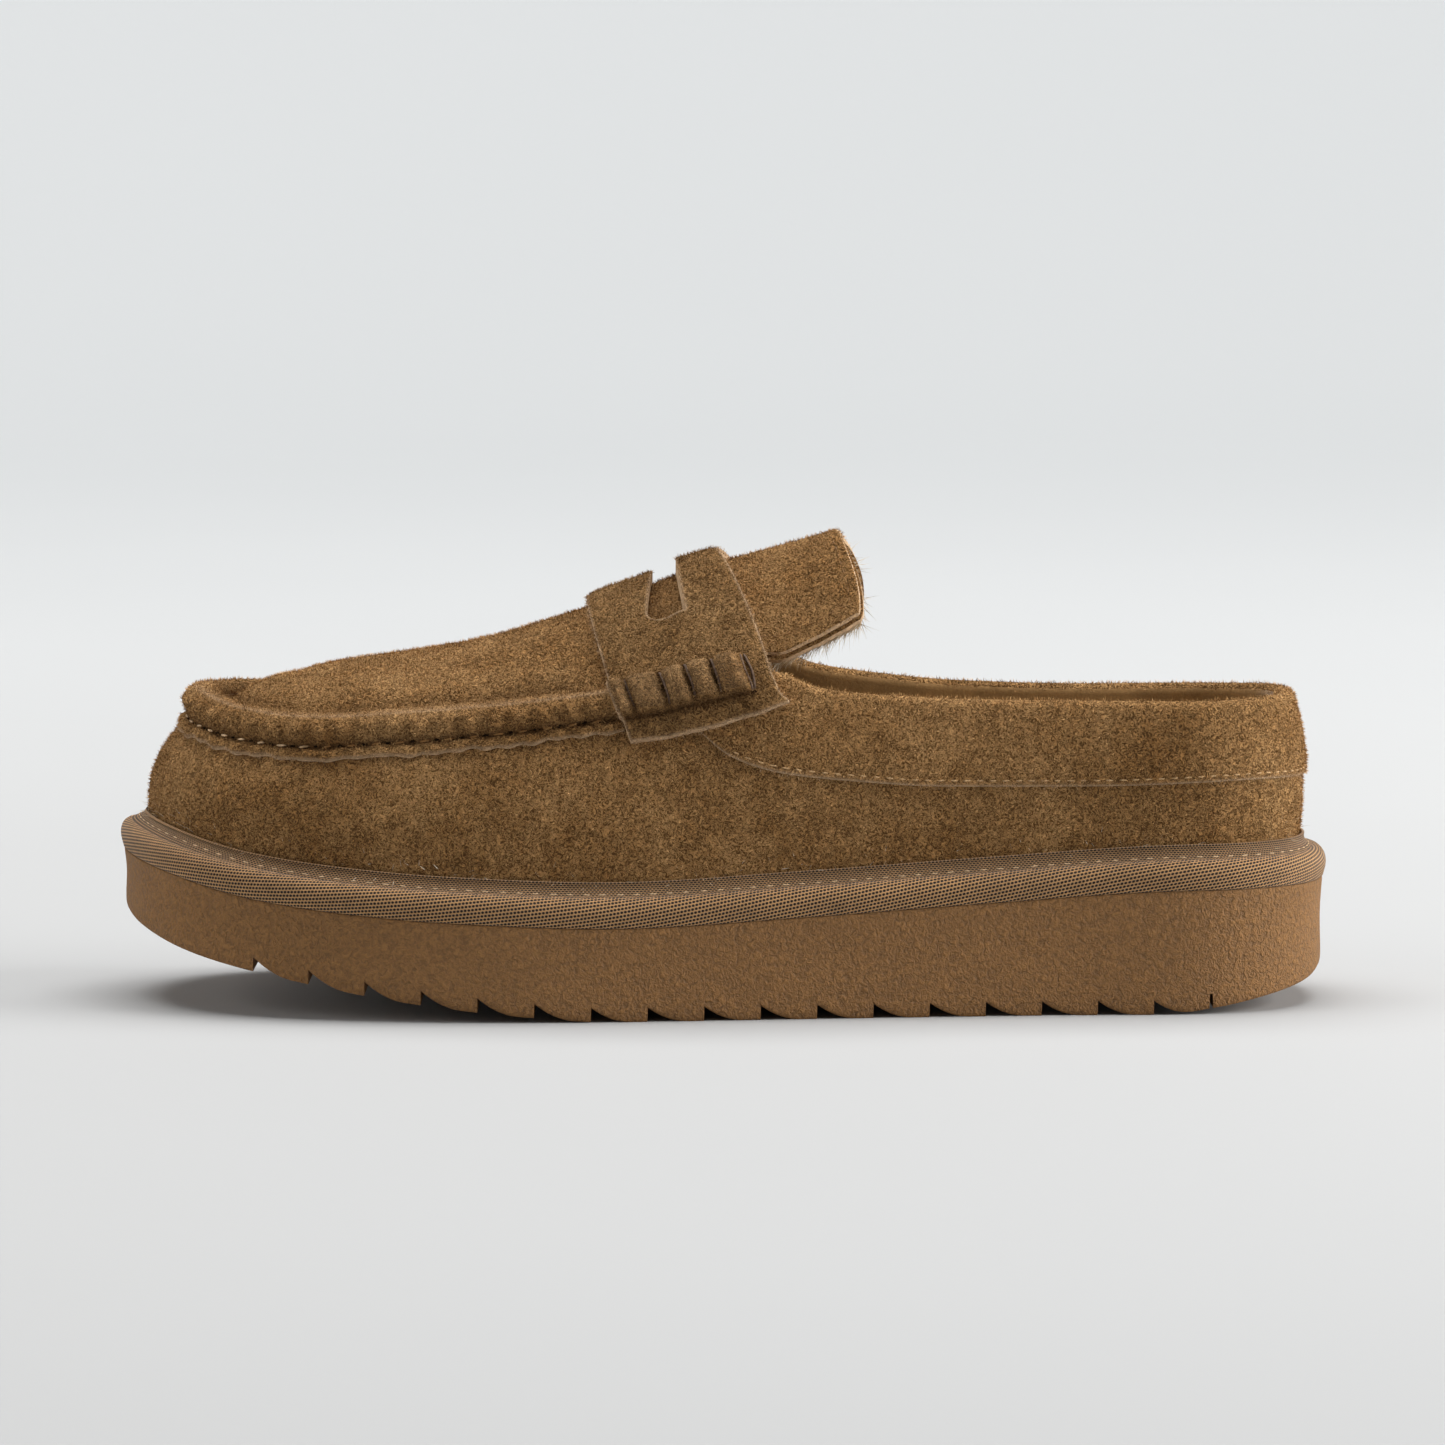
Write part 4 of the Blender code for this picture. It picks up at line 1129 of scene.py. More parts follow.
def grow(name, base, look, count_per_mm2, length, width, seed, lean=(0, 0, 0), spread=0.8, swirl=0.5):
    """Fibres all over a piece where its nap value says so. lean combs them one way, swirl in soft patches,
    and spread is how unruly each one is. They vary from the shortest to the longest share of length."""
    patches_per_metre, shortest, longest = 150.0, 0.55, 1.25
    hair = hair_template(name + "_fibre", length, width)
    tree = bpy.data.node_groups.new(name, "GeometryNodeTree")
    tree.interface.new_socket("Geometry", in_out="INPUT", socket_type="NodeSocketGeometry")
    tree.interface.new_socket("Geometry", in_out="OUTPUT", socket_type="NodeSocketGeometry")

    def node(kind, inputs=(), **settings):
        made = tree.nodes.new(kind)
        for setting, value in settings.items():
            setattr(made, setting, value)
        for socket, value in dict(inputs).items():
            if isinstance(value, bpy.types.NodeSocket):
                tree.links.new(value, made.inputs[socket])
            else:
                made.inputs[socket].default_value = value
        return made

    source = node("NodeGroupInput")
    growth = node("GeometryNodeInputNamedAttribute", {"Name": "nap"}, data_type="FLOAT")
    thick = node("ShaderNodeMath", {0: growth.outputs[0], 1: count_per_mm2 * 1e6}, operation="MULTIPLY")
    points = node(
        "GeometryNodeDistributePointsOnFaces",
        {"Mesh": source.outputs[0], "Density": thick.outputs[0], "Seed": seed},
    )
    place = node("GeometryNodeInputPosition")
    soft = {"Vector": place.outputs[0], "Scale": patches_per_metre, "Detail": 1.0}
    wander = node("ShaderNodeTexNoise", soft)
    half = (0.5, 0.5, 0.5)
    centred = node("ShaderNodeVectorMath", {0: wander.outputs["Color"], 1: half}, operation="SUBTRACT")
    patch = node("ShaderNodeVectorMath", {0: centred.outputs[0], "Scale": 5 * swirl}, operation="SCALE")
    stray = node(
        "FunctionNodeRandomValue",
        {0: (-spread, -spread, -spread), 1: (spread, spread, spread), "Seed": seed + 1},
        data_type="FLOAT_VECTOR",
    )
    first = node("ShaderNodeVectorMath", {0: points.outputs["Normal"], 1: patch.outputs[0]}, operation="ADD")
    second = node("ShaderNodeVectorMath", {0: first.outputs[0], 1: stray.outputs[0]}, operation="ADD")
    way = node("ShaderNodeVectorMath", {0: second.outputs[0], 1: lean}, operation="ADD")
    turn = node("FunctionNodeRandomValue", {2: 0.0, 3: 2 * math.pi, "Seed": seed + 2}, data_type="FLOAT")
    about = node("ShaderNodeCombineXYZ", {2: turn.outputs[1]})
    spun = node("FunctionNodeEulerToRotation", {0: about.outputs[0]})
    aimed = node(
        "FunctionNodeAlignRotationToVector",
        {"Rotation": spun.outputs[0], "Vector": way.outputs[0]},
        axis="Z",
    )
    long = node("FunctionNodeRandomValue", {2: shortest, 3: longest, "Seed": seed + 3}, data_type="FLOAT")
    fibre = node("GeometryNodeObjectInfo", {"Object": hair})
    planted = node(
        "GeometryNodeInstanceOnPoints",
        {
            "Points": points.outputs["Points"],
            "Instance": fibre.outputs["Geometry"],
            "Rotation": aimed.outputs[0],
            "Scale": long.outputs[1],
        },
    )
    tint = node("FunctionNodeRandomValue", {2: 0.0, 3: 1.0, "Seed": seed + 4}, data_type="FLOAT")
    tinted = node(
        "GeometryNodeStoreNamedAttribute",
        {"Geometry": planted.outputs[0], "Name": "tint", "Value": tint.outputs[1]},
        data_type="FLOAT",
        domain="INSTANCE",
    )
    real = node("GeometryNodeRealizeInstances", {0: tinted.outputs[0]})
    painted = node("GeometryNodeSetMaterial", {"Geometry": real.outputs[0], "Material": look})
    result = node("NodeGroupOutput")
    tree.links.new(painted.outputs[0], result.inputs[0])

    obj = put(name, base.data.copy())
    settle(obj, "NODES", node_group=tree)
    obj.data.name = name
    bpy.data.objects.remove(hair)
    return obj


def stitch(bm, centre, along, out, length, width):
    """One stitch: a small rounded lozenge that lies along its seam."""
    forward = along.normalized()
    side = forward.cross(out).normalized()
    up = side.cross(forward).normalized()
    frame_of = Matrix((forward * length / 2, side * width / 2, up * width / 2)).transposed().to_4x4()
    frame_of.translation = centre
    bmesh.ops.create_uvsphere(bm, u_segments=8, v_segments=6, radius=1, matrix=frame_of)


def thread(bm, line, radius, sides=8):
    """A round thread along a line of (point, outward direction)."""
    last = len(line) - 1

    def place(a, b):
        i = round(a * last)
        point, out = line[i]
        ahead = line[min(i + 1, last)][0] - line[max(i - 1, 0)][0]
        side = ahead.cross(out).normalized()
        turn = 2 * math.pi * b
        return point + out * (radius * math.cos(turn)) + side * (radius * math.sin(turn))

    bent_sheet(bm, last, sides, place)
    close_ends(bm, 1e-7)


def close_ends(bm, near):
    """Joins a sheet's meeting edges, and fills its open ends."""
    bmesh.ops.remove_doubles(bm, verts=bm.verts, dist=near)
    bmesh.ops.holes_fill(bm, edges=[e for e in bm.edges if e.is_boundary], sides=0)


def sole_layer(section, slices, height_at, columns=480, cloth=(1, 1)):
    """A solid whose plan is the shoe's outline. section is a table of (inset, level) up its side, slices are
    the places where it is cut across so that it can bend, and height_at(x, level) is where each corner ends
    up."""
    bm = bmesh.new()
    steps = len(section) - 1

    def place(a, b):
        inset, level = section[round(b * steps)]
        return (*edge(a, inset), level)

    bent_sheet(bm, columns, steps, place, cloth)
    close_ends(bm, 1e-6)
    for x in slices:
        everything = bm.verts[:] + bm.edges[:] + bm.faces[:]
        bmesh.ops.bisect_plane(bm, geom=everything, dist=1e-6, plane_co=(x, 0, 0), plane_no=(1, 0, 0))
    for corner in bm.verts:
        corner.co.z = height_at(corner.co.x, corner.co.z)
    return bm


def cut_places():
    """Where the tread is cut, from the toe back."""
    return [LENGTH / 2 - FIRST_CUT - i * LUG_PITCH for i in range(LUG_COUNT + 1)]


def cut_height(x):
    """How far the tread's cuts reach up at x. A lug curves down from the cut in front of it, runs flat, and
    ends in a step."""
    cuts = cut_places()
    if x > cuts[0] - LUG_STEP / 2 or x < cuts[-1] - SLIT_WIDTH:
        return 0.0
    behind = (cuts[0] - LUG_STEP / 2 - x) / LUG_PITCH
    along = behind - math.floor(behind)
    if behind >= LUG_COUNT:
        return LUG_DEPTH
    return LUG_DEPTH * max(0.0, 1 - along / LUG_RAMP) ** 2


def make_outsole():
    """The ripple sole. It is sliced where its lugs bend, and closely at its rocking ends."""
    slices = []
    for x in cut_places()[:-1]:
        slices += [x, x - LUG_STEP]
        slices += [x - LUG_PITCH * LUG_RAMP * part for part in (0.1, 0.2, 0.3, 0.4, 0.55, 0.75, 1.0)]
    last = cut_places()[-1]
    slices += [last, last - LUG_STEP, last - SLIT_WIDTH + LUG_STEP, last - SLIT_WIDTH]
    slices += [side * LENGTH * part for side in (1, -1) for part in np.linspace(0.40, 0.496, 14)]
    first_level = 0.1

    def height_at(x, level):
        low, high = tread(x) + 1.15 * LUG_DEPTH, sole_edge(x)
        if level >= first_level:
            return low + (high - low) * (level - first_level) / (1 - first_level)
        return tread(x) + cut_height(x) + (low - tread(x) - cut_height(x)) * level / first_level

    waist = column(SOLE_WAIST_AT, 1)
    levels = (0.0, 0.008, 0.022, 0.05, 0.1, 0.2, 0.35, 0.5, 0.65, 0.8, 0.9, 0.96, 0.985, 1.0)
    rounding = {0.0: 0.00045, 0.008: 0.00022, 0.022: 0.00007, 0.985: 0.00003, 1.0: 0.00015}
    section = [(BEAD + waist(level) * SOLE_WAIST + rounding.get(level, 0), level) for level in levels]
    obj = finish("outsole_rubber", sole_layer(section, slices, height_at), rubber("rubber"))
    return dress(obj, "outsole", "outsole")


def make_tape():
    """The webbing that wraps the platform's edge."""
    slices = np.linspace(-LENGTH / 2, LENGTH / 2, 41)[1:-1]
    run = [0.0]
    for (inset, level), (next_inset, next_level) in zip(TAPE_PROFILE, TAPE_PROFILE[1:]):
        run.append(run[-1] + math.hypot(next_inset - inset, (next_level - level) * WRAP_HEIGHT))

    def height_at(x, level):
        return sole_edge(x) + SEAT_GAP + level * WRAP_HEIGHT

    look = webbing("tape", TAPE, WEAVE_PITCH, WEAVE_PITCH, 0.35, 0.16)
    bm = sole_layer(TAPE_PROFILE, slices, height_at, cloth=(TAPE_LENGTH, 1))
    flat = bm.loops.layers.uv["cloth"]
    steps = len(TAPE_PROFILE) - 1
    for face in bm.faces:
        for loop in face.loops:
            level = loop[flat].uv.y * steps
            i = min(int(level), steps - 1)
            up = run[i] + (run[i + 1] - run[i]) * (level - i)
            along = loop[flat].uv.x
            askew = TAPE_SKEW * abs(2 * abs(along / TAPE_LENGTH * 2 - 1) - 1) ** 3
            loop[flat].uv = (along + askew * up, up)
    return dress(finish("platform_tape", bm, look), "midsole", "midsole")


def rand_line(u, b):
    """The flat strip's section: from the tape's stitches in to the foot of the upper, and up it."""
    (x, _), _ = outline(u)
    low = Vector((*edge(u, RAND_START), bed(x) - 0.0009))
    turn = Vector((*edge(u, foot_inset(x) - RAND_THICKNESS), bed(x) + 0.0004))
    high = lifted(u, 1.25 * RAND_HEIGHT / wall_height(u), SEAT_GAP + RAND_THICKNESS)
    return low * (1 - b) ** 2 + turn * (2 * b * (1 - b)) + high * b * b


def rand_normal(u, b):
    """Direction outwards from that strip."""
    return normal(rand_line, u, clamp(b, 0.02, 0.98), 0.002, 0.02)


def make_rand():
    """The flat strip between the tape and the upper, thinnest where it leaves the tape."""

    def place(a, b, top):
        return rand_line(a, b) - rand_normal(a, b) * (1 - top) * (0.0001 + 0.0005 * min(1, 3 * b))

    bm = bent_slab(480, 10, place, ring=True, cloth=(RAND_LENGTH, RAND_WIDTH))
    look = webbing("rand", shade(TAPE, 0.70)[:3], 0.00080, 0.00070, 0.5, 0.0)
    return dress(finish("rand_strip", bm, look, look), "rand", "rand")


def round_stitches(bm, point_at, start, end, pitch, length, width, seed, lie=0.0, first=0.5):
    """Stitches along point_at(u) -> (point, outward direction), from one station to another. lie turns each
    one across the seam, and first is the run to the first one, in pitches."""
    rng = np.random.default_rng(seed)
    steps = 1600
    stations = np.linspace(start, end, steps)
    points = [point_at(u)[0] for u in stations]
    run = 0.0
    due = pitch * first
    for i in range(1, steps - 1):
        run += (points[i] - points[i - 1]).length
        if run >= due:
            due += pitch
            point, out = point_at(stations[i])
            along = (points[i + 1] - points[i - 1]).normalized()
            along += out.cross(along) * (lie + rng.uniform(-0.10, 0.10))
            stitch(bm, point, along, out, length * rng.uniform(0.8, 1.1), width)


def make_tape_stitches():
    bm = bmesh.new()

    def at(u):
        out = rand_normal(u, RAND_SEWN)
        return rand_line(u, RAND_SEWN) + out * 0.00005, out

    round_stitches(bm, at, 0.0, 1.0, TAPE_PITCH, TAPE_STITCH, 0.00034, 11)
    return dress(finish("tape_stitches", bm, sewing_thread("tape_thread", TAN_THREAD)), "rand")


def make_insole():
    """The fleece footbed, a little dished."""
    inset = FOOT_INSET_TOE + UPPER_WALL + 0.0004

    def place(a, b, top):
        u = 0.003 + 0.494 * a
        (x_out, y_out), (x_in, y_in) = edge(u, inset), edge(1 - u, inset)
        x = x_out + (x_in - x_out) * b
        y = y_out + (y_in - y_out) * b
        rim = abs(2 * b - 1)
        ends = min(1.0, min(a, 1 - a) / 0.05)
        soft = 0.55 + 0.45 * (1 - rim**6) * math.sqrt(max(ends, 0.0))
        dish = 0.0012 * (1 - rim**2) * math.exp(-(((a - 0.16) / 0.14) ** 2))
        return Vector((x, y, bed(x) + SEAT_GAP + top * (INSOLE_THICKNESS * soft - dish)))

    bm = bent_slab(120, 32, place, hairy=everywhere)
    look = fleece("fleece")
    return dress(finish("fleece_footbed", bm, look, look), "insole", "insole")


def part_of_strap(u, rise):
    """Where a place on the skin would lie on the strap, 0 at its middle and 1 at its tail, and its x."""
    x = crossing(u)
    if rise >= 1:
        return SEAM_SHARE * (2 - rise), x
    below = (topline(u) - skin(u, rise)).length
    return SEAM_SHARE + (1 - SEAM_SHARE) * below / STRAP_TAIL, x


def under_strap(u, rise):
    """Whether the strap covers the skin here."""
    part, x = part_of_strap(u, rise)
    if part > 1:
        return False
    return strap_rear(part) - 0.001 < x < strap_front(part) - 0.0008


def lap_rise(u):
    """Rise of the collar band's lower edge."""
    (x, _), _ = outline(u)
    foot, rim = bed(x), topline(u)[2]
    return (LAP_HEIGHT(share(x)) * COLLAR_HEIGHT - foot) / (rim - foot)


def wall_nap(u, rise):
    """Nap grows on the side wherever nothing covers it."""
    height = wall_height(u)
    across = side_station(u)
    if rise * height < RAND_HEIGHT:
        return 0.0
    if across < station(BAND_START) and rise > lap_rise(u) - 0.0004 / height:
        return 0.0
    if across > station(strap_front(SEAM_SHARE)) and rise > near_seam(u, -0.0072):
        return 0.0
    return 0.0 if under_strap(u, rise) else 1.0


def apron_nap(u, rise):
    """Nap grows on the apron wherever nothing covers it, and where it shows in the strap's slot."""
    if slot_gap(skin(u, rise)) < 0.0008:
        return 1.0
    if rise < near_seam(u, 0.0008) or under_strap(u, rise):
        return 0.0
    return 1.0


def apron_painted_shade(u, rise):
    """Painted shade on the apron: in the crease beside the rolled seam, and through the strap's slot."""
    point = skin(u, rise)
    if slot_gap(point) < 0.0008:
        return 0.42
    crease = bell((point - topline(u)).length - CREASE_AT, CREASE_REACH)
    return 0.55 * crease * ease((point[0] - STRAP_FRONT) / 0.006)


def make_upper(skin_look, lining_look):
    """The side wall all round and the apron in front, as one skin given its thickness inwards."""
    stations, wall_rows, apron_rows = 432, 30, 44
    throat = station(THROAT)
    rear = round(stations * throat)
    limits = (0, rear / stations, 1 - rear / stations, 1)

    def spaced(a):
        return float(np.interp(a, limits, (0, throat, 1 - throat, 1)))

    def top_rise(u):
        return 1 - RIM_DROP / wall_height(u) * ease((throat - side_station(u)) / 0.012)

    def wall(a, b):
        u = spaced(a)
        return skin(u, b * top_rise(u))

    def wall_hair(a, b):
        u = spaced(a)
        return wall_nap(u, b * top_rise(u))

    bm = bmesh.new()
    bent_sheet(bm, stations, wall_rows, wall, hairy=wall_hair)
    front = limits[2] - limits[1]

    def apron(a, b):
        return skin(spaced(limits[1] + front * a), 1 + b)

    def apron_hair(a, b):
        return apron_nap(spaced(limits[1] + front * a), 1 + b)

    # Painted shade on the apron
    def apron_shade_at(a, b):
        return apron_painted_shade(spaced(limits[1] + front * a), 1 + b)

    bent_sheet(bm, stations - 2 * rear, apron_rows, apron, hairy=apron_hair, painted_shade_at=apron_shade_at)
    bmesh.ops.remove_doubles(bm, verts=bm.verts, dist=1e-5)
    obj = finish("upper_suede", bm, skin_look, lining_look)
    inwards = {"offset": -1, "use_even_offset": True, "material_offset": 1, "material_offset_rim": 0}
    settle(obj, "SOLIDIFY", thickness=UPPER_WALL, **inwards)
    return dress(obj, "upper", "upper")


SEAM_RUN = {
    side: np.concatenate([[0], np.cumsum(np.linalg.norm(np.diff(line[::-1], axis=0), axis=1))])[::-1]
    for side, line in ((1, TOP_OUTER), (-1, TOP_INNER))
}


def seam_run(u):
    """Length of the apron seam from the toe to a station, below zero on the inner side."""
    side = 1 if u % 1.0 <= 0.5 else -1
    return side * float(np.interp(side_station(u), SIDE_STATIONS, SEAM_RUN[side]))


def wave(value, seed=0.0):
    """A slow irregular wave between -1 and 1."""
    slow = 0.5 * math.sin(value + seed) + 0.3 * math.sin(value * 2.3 + 1.7 * seed)
    return slow + 0.2 * math.sin(value * 4.1)


def at_toe(u, reach):
    """1 at the very toe, fading to 0 over this many stations."""
    return bell(u % 1.0 - 0.5, reach)


def below_seam(u, distance):
    """Rise at this distance from the seam. Round the toe the part below the roll draws in."""
    if distance < 0:
        distance *= 1 - 0.20 * at_toe(u, TOE_REACH)
    return near_seam(u, distance)


def make_apron_roll(look, edge_look):
    """The seam round the apron: a roll above, a crease pulled in by its stitches, and a wavy cut edge
    below."""
    thick = column(ROLL_PROFILE, 1)
    low, high = ROLL_PROFILE[0][0], ROLL_PROFILE[-1][0]

    def place(a, b, top):
        distance = low + (high - low) * b
        start = station(strap_front(seam_place(distance)) + 2 * SEAT_GAP)
        u = start + (1 - 2 * start) * a
        run = seam_run(u)
        beat = math.cos(2 * math.pi * run / SEAM_PITCH)
        on_flange = ease((FLANGE_AT - distance) / 0.0012)
        on_lip = bell(distance - LIP_AT, 0.0011)
        on_roll = ease((distance + 0.0036) / 0.0016)
        shift = -on_flange * (0.00018 * beat + 0.0004 * wave(run * 300))
        rise = thick(distance)
        rise *= 1 - 0.2 * at_toe(u, 2 * TOE_REACH) * on_flange
        rise *= 1 + on_flange * (0.22 * beat + 0.18 * wave(run * 420, 1.0)) - on_lip * 0.26 * beat
        rise *= 1 + on_roll * 0.05 * wave(run * 160, 2.0)
        return lifted(u, below_seam(u, distance + shift), SEAT_GAP * 0.5 + top * rise)

    def hairy(a, b):
        return 0.25 if abs(low + (high - low) * b - FOLD_AT) < 0.0004 else 1.0

    def cut_and_highlight_gap(a, b):
        """From the cut edge below, and from the roll's crest, where a pale line is a painted highlight."""
        distance = low + (high - low) * b
        return min(distance - low, 0.00025 + abs(distance - CREST_AT) * 0.5)

    # Painted shade behind the roll's crest and in the fold below it
    def painted_shade_at(a, b):
        distance = low + (high - low) * b
        beyond = ease((distance - CREST_AT - 0.0004) / 0.0008)
        return max(0.5 * beyond, 0.7 * bell(distance - FOLD_AT, 0.0006))

    bm = bent_slab(600, 36, place, hairy=hairy, cut_and_highlight_gap=cut_and_highlight_gap, painted_shade_at=painted_shade_at)
    obj = finish("apron_seam", bm, look, edge_look)
    return dress(obj, "apron_roll", "apron_roll")


def make_apron_stitches():
    """The seam's stitches, and the painted shade of the holes that they are drawn into."""
    start = station(strap_front(SEAM_SHARE) + 0.001)

    def at(u):
        rise = below_seam(u, SEWN_AT)
        return lifted(u, rise, 0.0010), skin_normal(u, rise)

    bm = bmesh.new()
    round_stitches(bm, at, start, 1 - start, SEAM_PITCH, SEAM_STITCH, 0.00060, 5, 0.12)
    look = sewing_thread("apron_thread", TAN_THREAD, worn_from=0.088)
    dress(finish("apron_stitches", bm, look), "apron_roll")

    def between(u):
        point, out = at(u)
        return point + out * 0.0001, out

    bm = bmesh.new()
    round_stitches(bm, between, start, 1 - start, SEAM_PITCH, 0.0012, 0.0005, 5, 0.12, first=1.0)
    dress(finish("apron_holes", bm, dark_hole("seam_hole")), "apron_roll")


def over_side(u, rise, lift):
    """Point at this height over the side, near the collar's edge."""
    return skin(u, rise) + skin_normal(u, min(rise, 0.975)) * lift


def band_surface(u, b, lift):
    """The collar band's section: up the side, over the collar's edge, and a little way down inside. lift is 0
    on its underside and BAND_THICKNESS on top."""
    top = topline(u)
    up = (top - skin(u, 0.9)).normalized()
    side_out = skin_normal(u, 0.96)
    radius = RIM_RADIUS - (BAND_THICKNESS - lift)
    centre = top - up * RIM_RADIUS + side_out * (SEAT_GAP + BAND_THICKNESS - RIM_RADIUS)
    high = 1 - RIM_RADIUS / wall_height(u)
    low = min(lap_rise(u), high - 0.02)
    if b < BAND_SIDE:
        return over_side(u, low + (high - low) * b / BAND_SIDE, SEAT_GAP + lift)
    if b < BAND_RIM:
        turn = math.pi * (b - BAND_SIDE) / (BAND_RIM - BAND_SIDE)
        return centre + side_out * (radius * math.cos(turn)) + up * (radius * math.sin(turn))
    return centre - side_out * radius - up * (RIM_LEG * (b - BAND_RIM) / (1 - BAND_RIM))


def make_collar_band(look, edge_look, lining_look):
    """The band, pulled in along its stitches, with its lining inside the collar."""
    start = station(BAND_START)

    def from_edge(a, b):
        return b / BAND_SIDE * BAND_WIDTH

    def place(a, b, top):
        u = -start + 2 * start * a
        lift = BAND_THICKNESS * top
        if b < BAND_SIDE:
            up = from_edge(a, b)
            lift *= 1 - 0.35 * bell(up - LAP_MARGIN, 0.0006) - 0.40 * bell(up, 0.0006)
        return band_surface(u, b, lift)

    def hairy(a, b):
        return 1.0 if b < BAND_SUEDE else 0.0

    def lined(b):
        return b > BAND_SUEDE

    bm = bent_slab(520, 48, place, hairy=hairy, cut_and_highlight_gap=from_edge, lined=lined)
    obj = finish("collar_suede", bm, look, edge_look, lining_look)
    return dress(obj, "collar_band", "collar_band")


def make_band_stitches():
    bm = bmesh.new()
    start = station(0.0)

    def at(u):
        rise = lap_rise(u) + LAP_MARGIN / wall_height(u)
        return over_side(u, rise, SEAT_GAP + 0.72 * BAND_THICKNESS), skin_normal(u, min(rise, 0.975))

    round_stitches(bm, at, -start, start, LAP_PITCH, LAP_STITCH, 0.00042, 6)
    return dress(finish("collar_stitches", bm, sewing_thread("collar_thread", SUEDE_THREAD)), "collar_band")


def roll_place(across, along):
    """A place on the strap as the bound rolls see it: height over their middle in half widths, share of their
    length from the strap's front, and distance to the nearest groove. Away from them there is none."""
    part = abs(across)
    if part <= 0.5:
        return None
    distance = SEAM_TO_MIDDLE * (1 - part / SEAM_SHARE)
    if part > SEAM_SHARE:
        distance = -STRAP_TAIL * (part - SEAM_SHARE) / (1 - SEAM_SHARE)
    behind = (1 - along) * strap_width(part) - END_ROLL_START
    t = behind / END_ROLL_LENGTH
    if not -0.02 < t < 1.03:
        return None
    c = (distance + END_ROLL_DROP) / END_ROLL_WIDTH * 2
    turn = next((i for i in range(len(ROLL_ENDS) - 1) if t <= ROLL_ENDS[i + 1]), len(ROLL_ENDS) - 2)
    low, high = ROLL_ENDS[turn], ROLL_ENDS[turn + 1]
    within = clamp((t - low) / (high - low))
    reach = (high - low) * END_ROLL_LENGTH
    from_groove = min(within, 1 - within) * reach
    if turn == 0:
        from_groove = (1 - within) * reach
    return c, t, from_groove


def roll_bulge(across, along):
    """How far the bound rolls stand over the strap here."""
    place = roll_place(across, along)
    if not place:
        return 0.0
    c, t, from_groove = place
    arch = math.sqrt(max(0.0, 1 - (c / (ROLL_TOP if c > 0 else ROLL_FOOT)) ** 6))
    lobe = math.sqrt(1 - (1 - min(1.0, from_groove / (1.9 * GROOVE))) ** 2)
    front = ease((t + 0.02) / 0.04)
    back = ease((1.03 - t) / 0.08)
    return 1.45 * END_ROLL_RISE * arch * (0.14 + 0.86 * lobe) * front * back


def roll_painted_shade(across, along):
    """Painted shade on the strap: in the creases above and below its rolls, and in their grooves."""
    place = roll_place(across, along)
    if not place:
        return 0.0
    c, t, from_groove = place
    ends = ease((t + 0.02) / 0.04) * ease((1.03 - t) / 0.05)
    above = 0.8 * bell(c - ROLL_TOP - 0.07, 0.11)
    below = 0.95 * bell(c - ROLL_FOOT + 0.07, 0.11)
    groove = 0.5 * bell(from_groove, 0.45 * GROOVE) if ROLL_FOOT < c < ROLL_TOP else 0.0
    return max(above, below, groove) * ends


def make_strap(look, edge_look):
    """The saddle strap with its slot, its ends bound into rolls over the seam."""

    def place(a, b, top):
        across = 2 * a - 1
        soft = STRAP_THICKNESS * (1 - 0.25 * abs(2 * b - 1) ** 10)
        bulge = roll_bulge(across, min(b, 0.98))
        ahead = 0.0010 * min(1.0, bulge / END_ROLL_RISE) * max(0.0, 1 - (1 - b) / 0.08)
        return over_strap(across, b, top * (soft + bulge)) + Vector((ahead, 0, 0))

    def cut_and_highlight_gap(a, b):
        """From the strap's edges and its slot. The tops of its rolls get a faint painted highlight too."""
        across = 2 * a - 1
        part = abs(across)
        width = strap_width(part)
        tail = (1 - part) * STRAP_TAIL / (1 - SEAM_SHARE)
        to_slot = slot_gap(over_strap(across, b, STRAP_THICKNESS)) if part < 0.62 else tail
        # A faint painted highlight on the rolls' tops
        wear_and_highlight = CUT_REACH * (1.5 if roll_bulge(across, b) > END_ROLL_RISE else 9)
        return min(b * width, (1 - b) * width, tail, to_slot, wear_and_highlight)

    # Painted shade in the rolls' creases and grooves
    def painted_shade_at(a, b):
        return roll_painted_shade(2 * a - 1, b)

    bm = bent_slab(360, 84, place, hairy=everywhere, cut_and_highlight_gap=cut_and_highlight_gap, painted_shade_at=painted_shade_at)
    obj = finish("saddle_suede", bm, look, edge_look)
    cutter = finish("slot_cutter", slot_shape(), edge_look)
    settle(obj, "BOOLEAN", operation="DIFFERENCE", solver="EXACT", object=cutter)
    bpy.data.objects.remove(cutter)
    obj.data.set_sharp_from_angle(angle=SHARP)
    return dress(obj, "saddle_strap", "saddle_strap", "beefroll_lateral", "beefroll_medial")


def slot_edges(across):
    """The slot's rear and front edge: the rear one bows, and the front one dips in the middle and ends in
    round corners."""
    corner = math.sqrt(1 - max(0.0, 1 - (1 - abs(across)) / SLOT_ROUND) ** 2)
    rear = SLOT_REAR - SLOT_BOW * across**2
    width = (SLOT_MIDDLE + (SLOT_END - SLOT_MIDDLE) * abs(across) ** 1.5) * (0.45 + 0.55 * corner)
    return rear, rear + width


def slot_gap(point):
    """How far a point of the strap is from the slot, in plan."""
    across = (point[1] - middle(SLOT_REAR)[1]) / SLOT_HALF
    rear, front = slot_edges(clamp(across, -1, 1))
    beside = max(0.0, abs(across) - 1) * SLOT_HALF
    return math.hypot(beside, max(rear - point[0], point[0] - front, 0.0))


def slot_shape():
    """The slot, as an upright block."""
    centre_y = middle(SLOT_REAR)[1]

    def place(a, b, top):
        across = 2 * a - 1
        rear, front = slot_edges(across)
        return rear + b * (front - rear), centre_y + SLOT_HALF * across, INSTEP_HEIGHT * (0.6 + 0.6 * top)

    return bent_slab(80, 4, place)


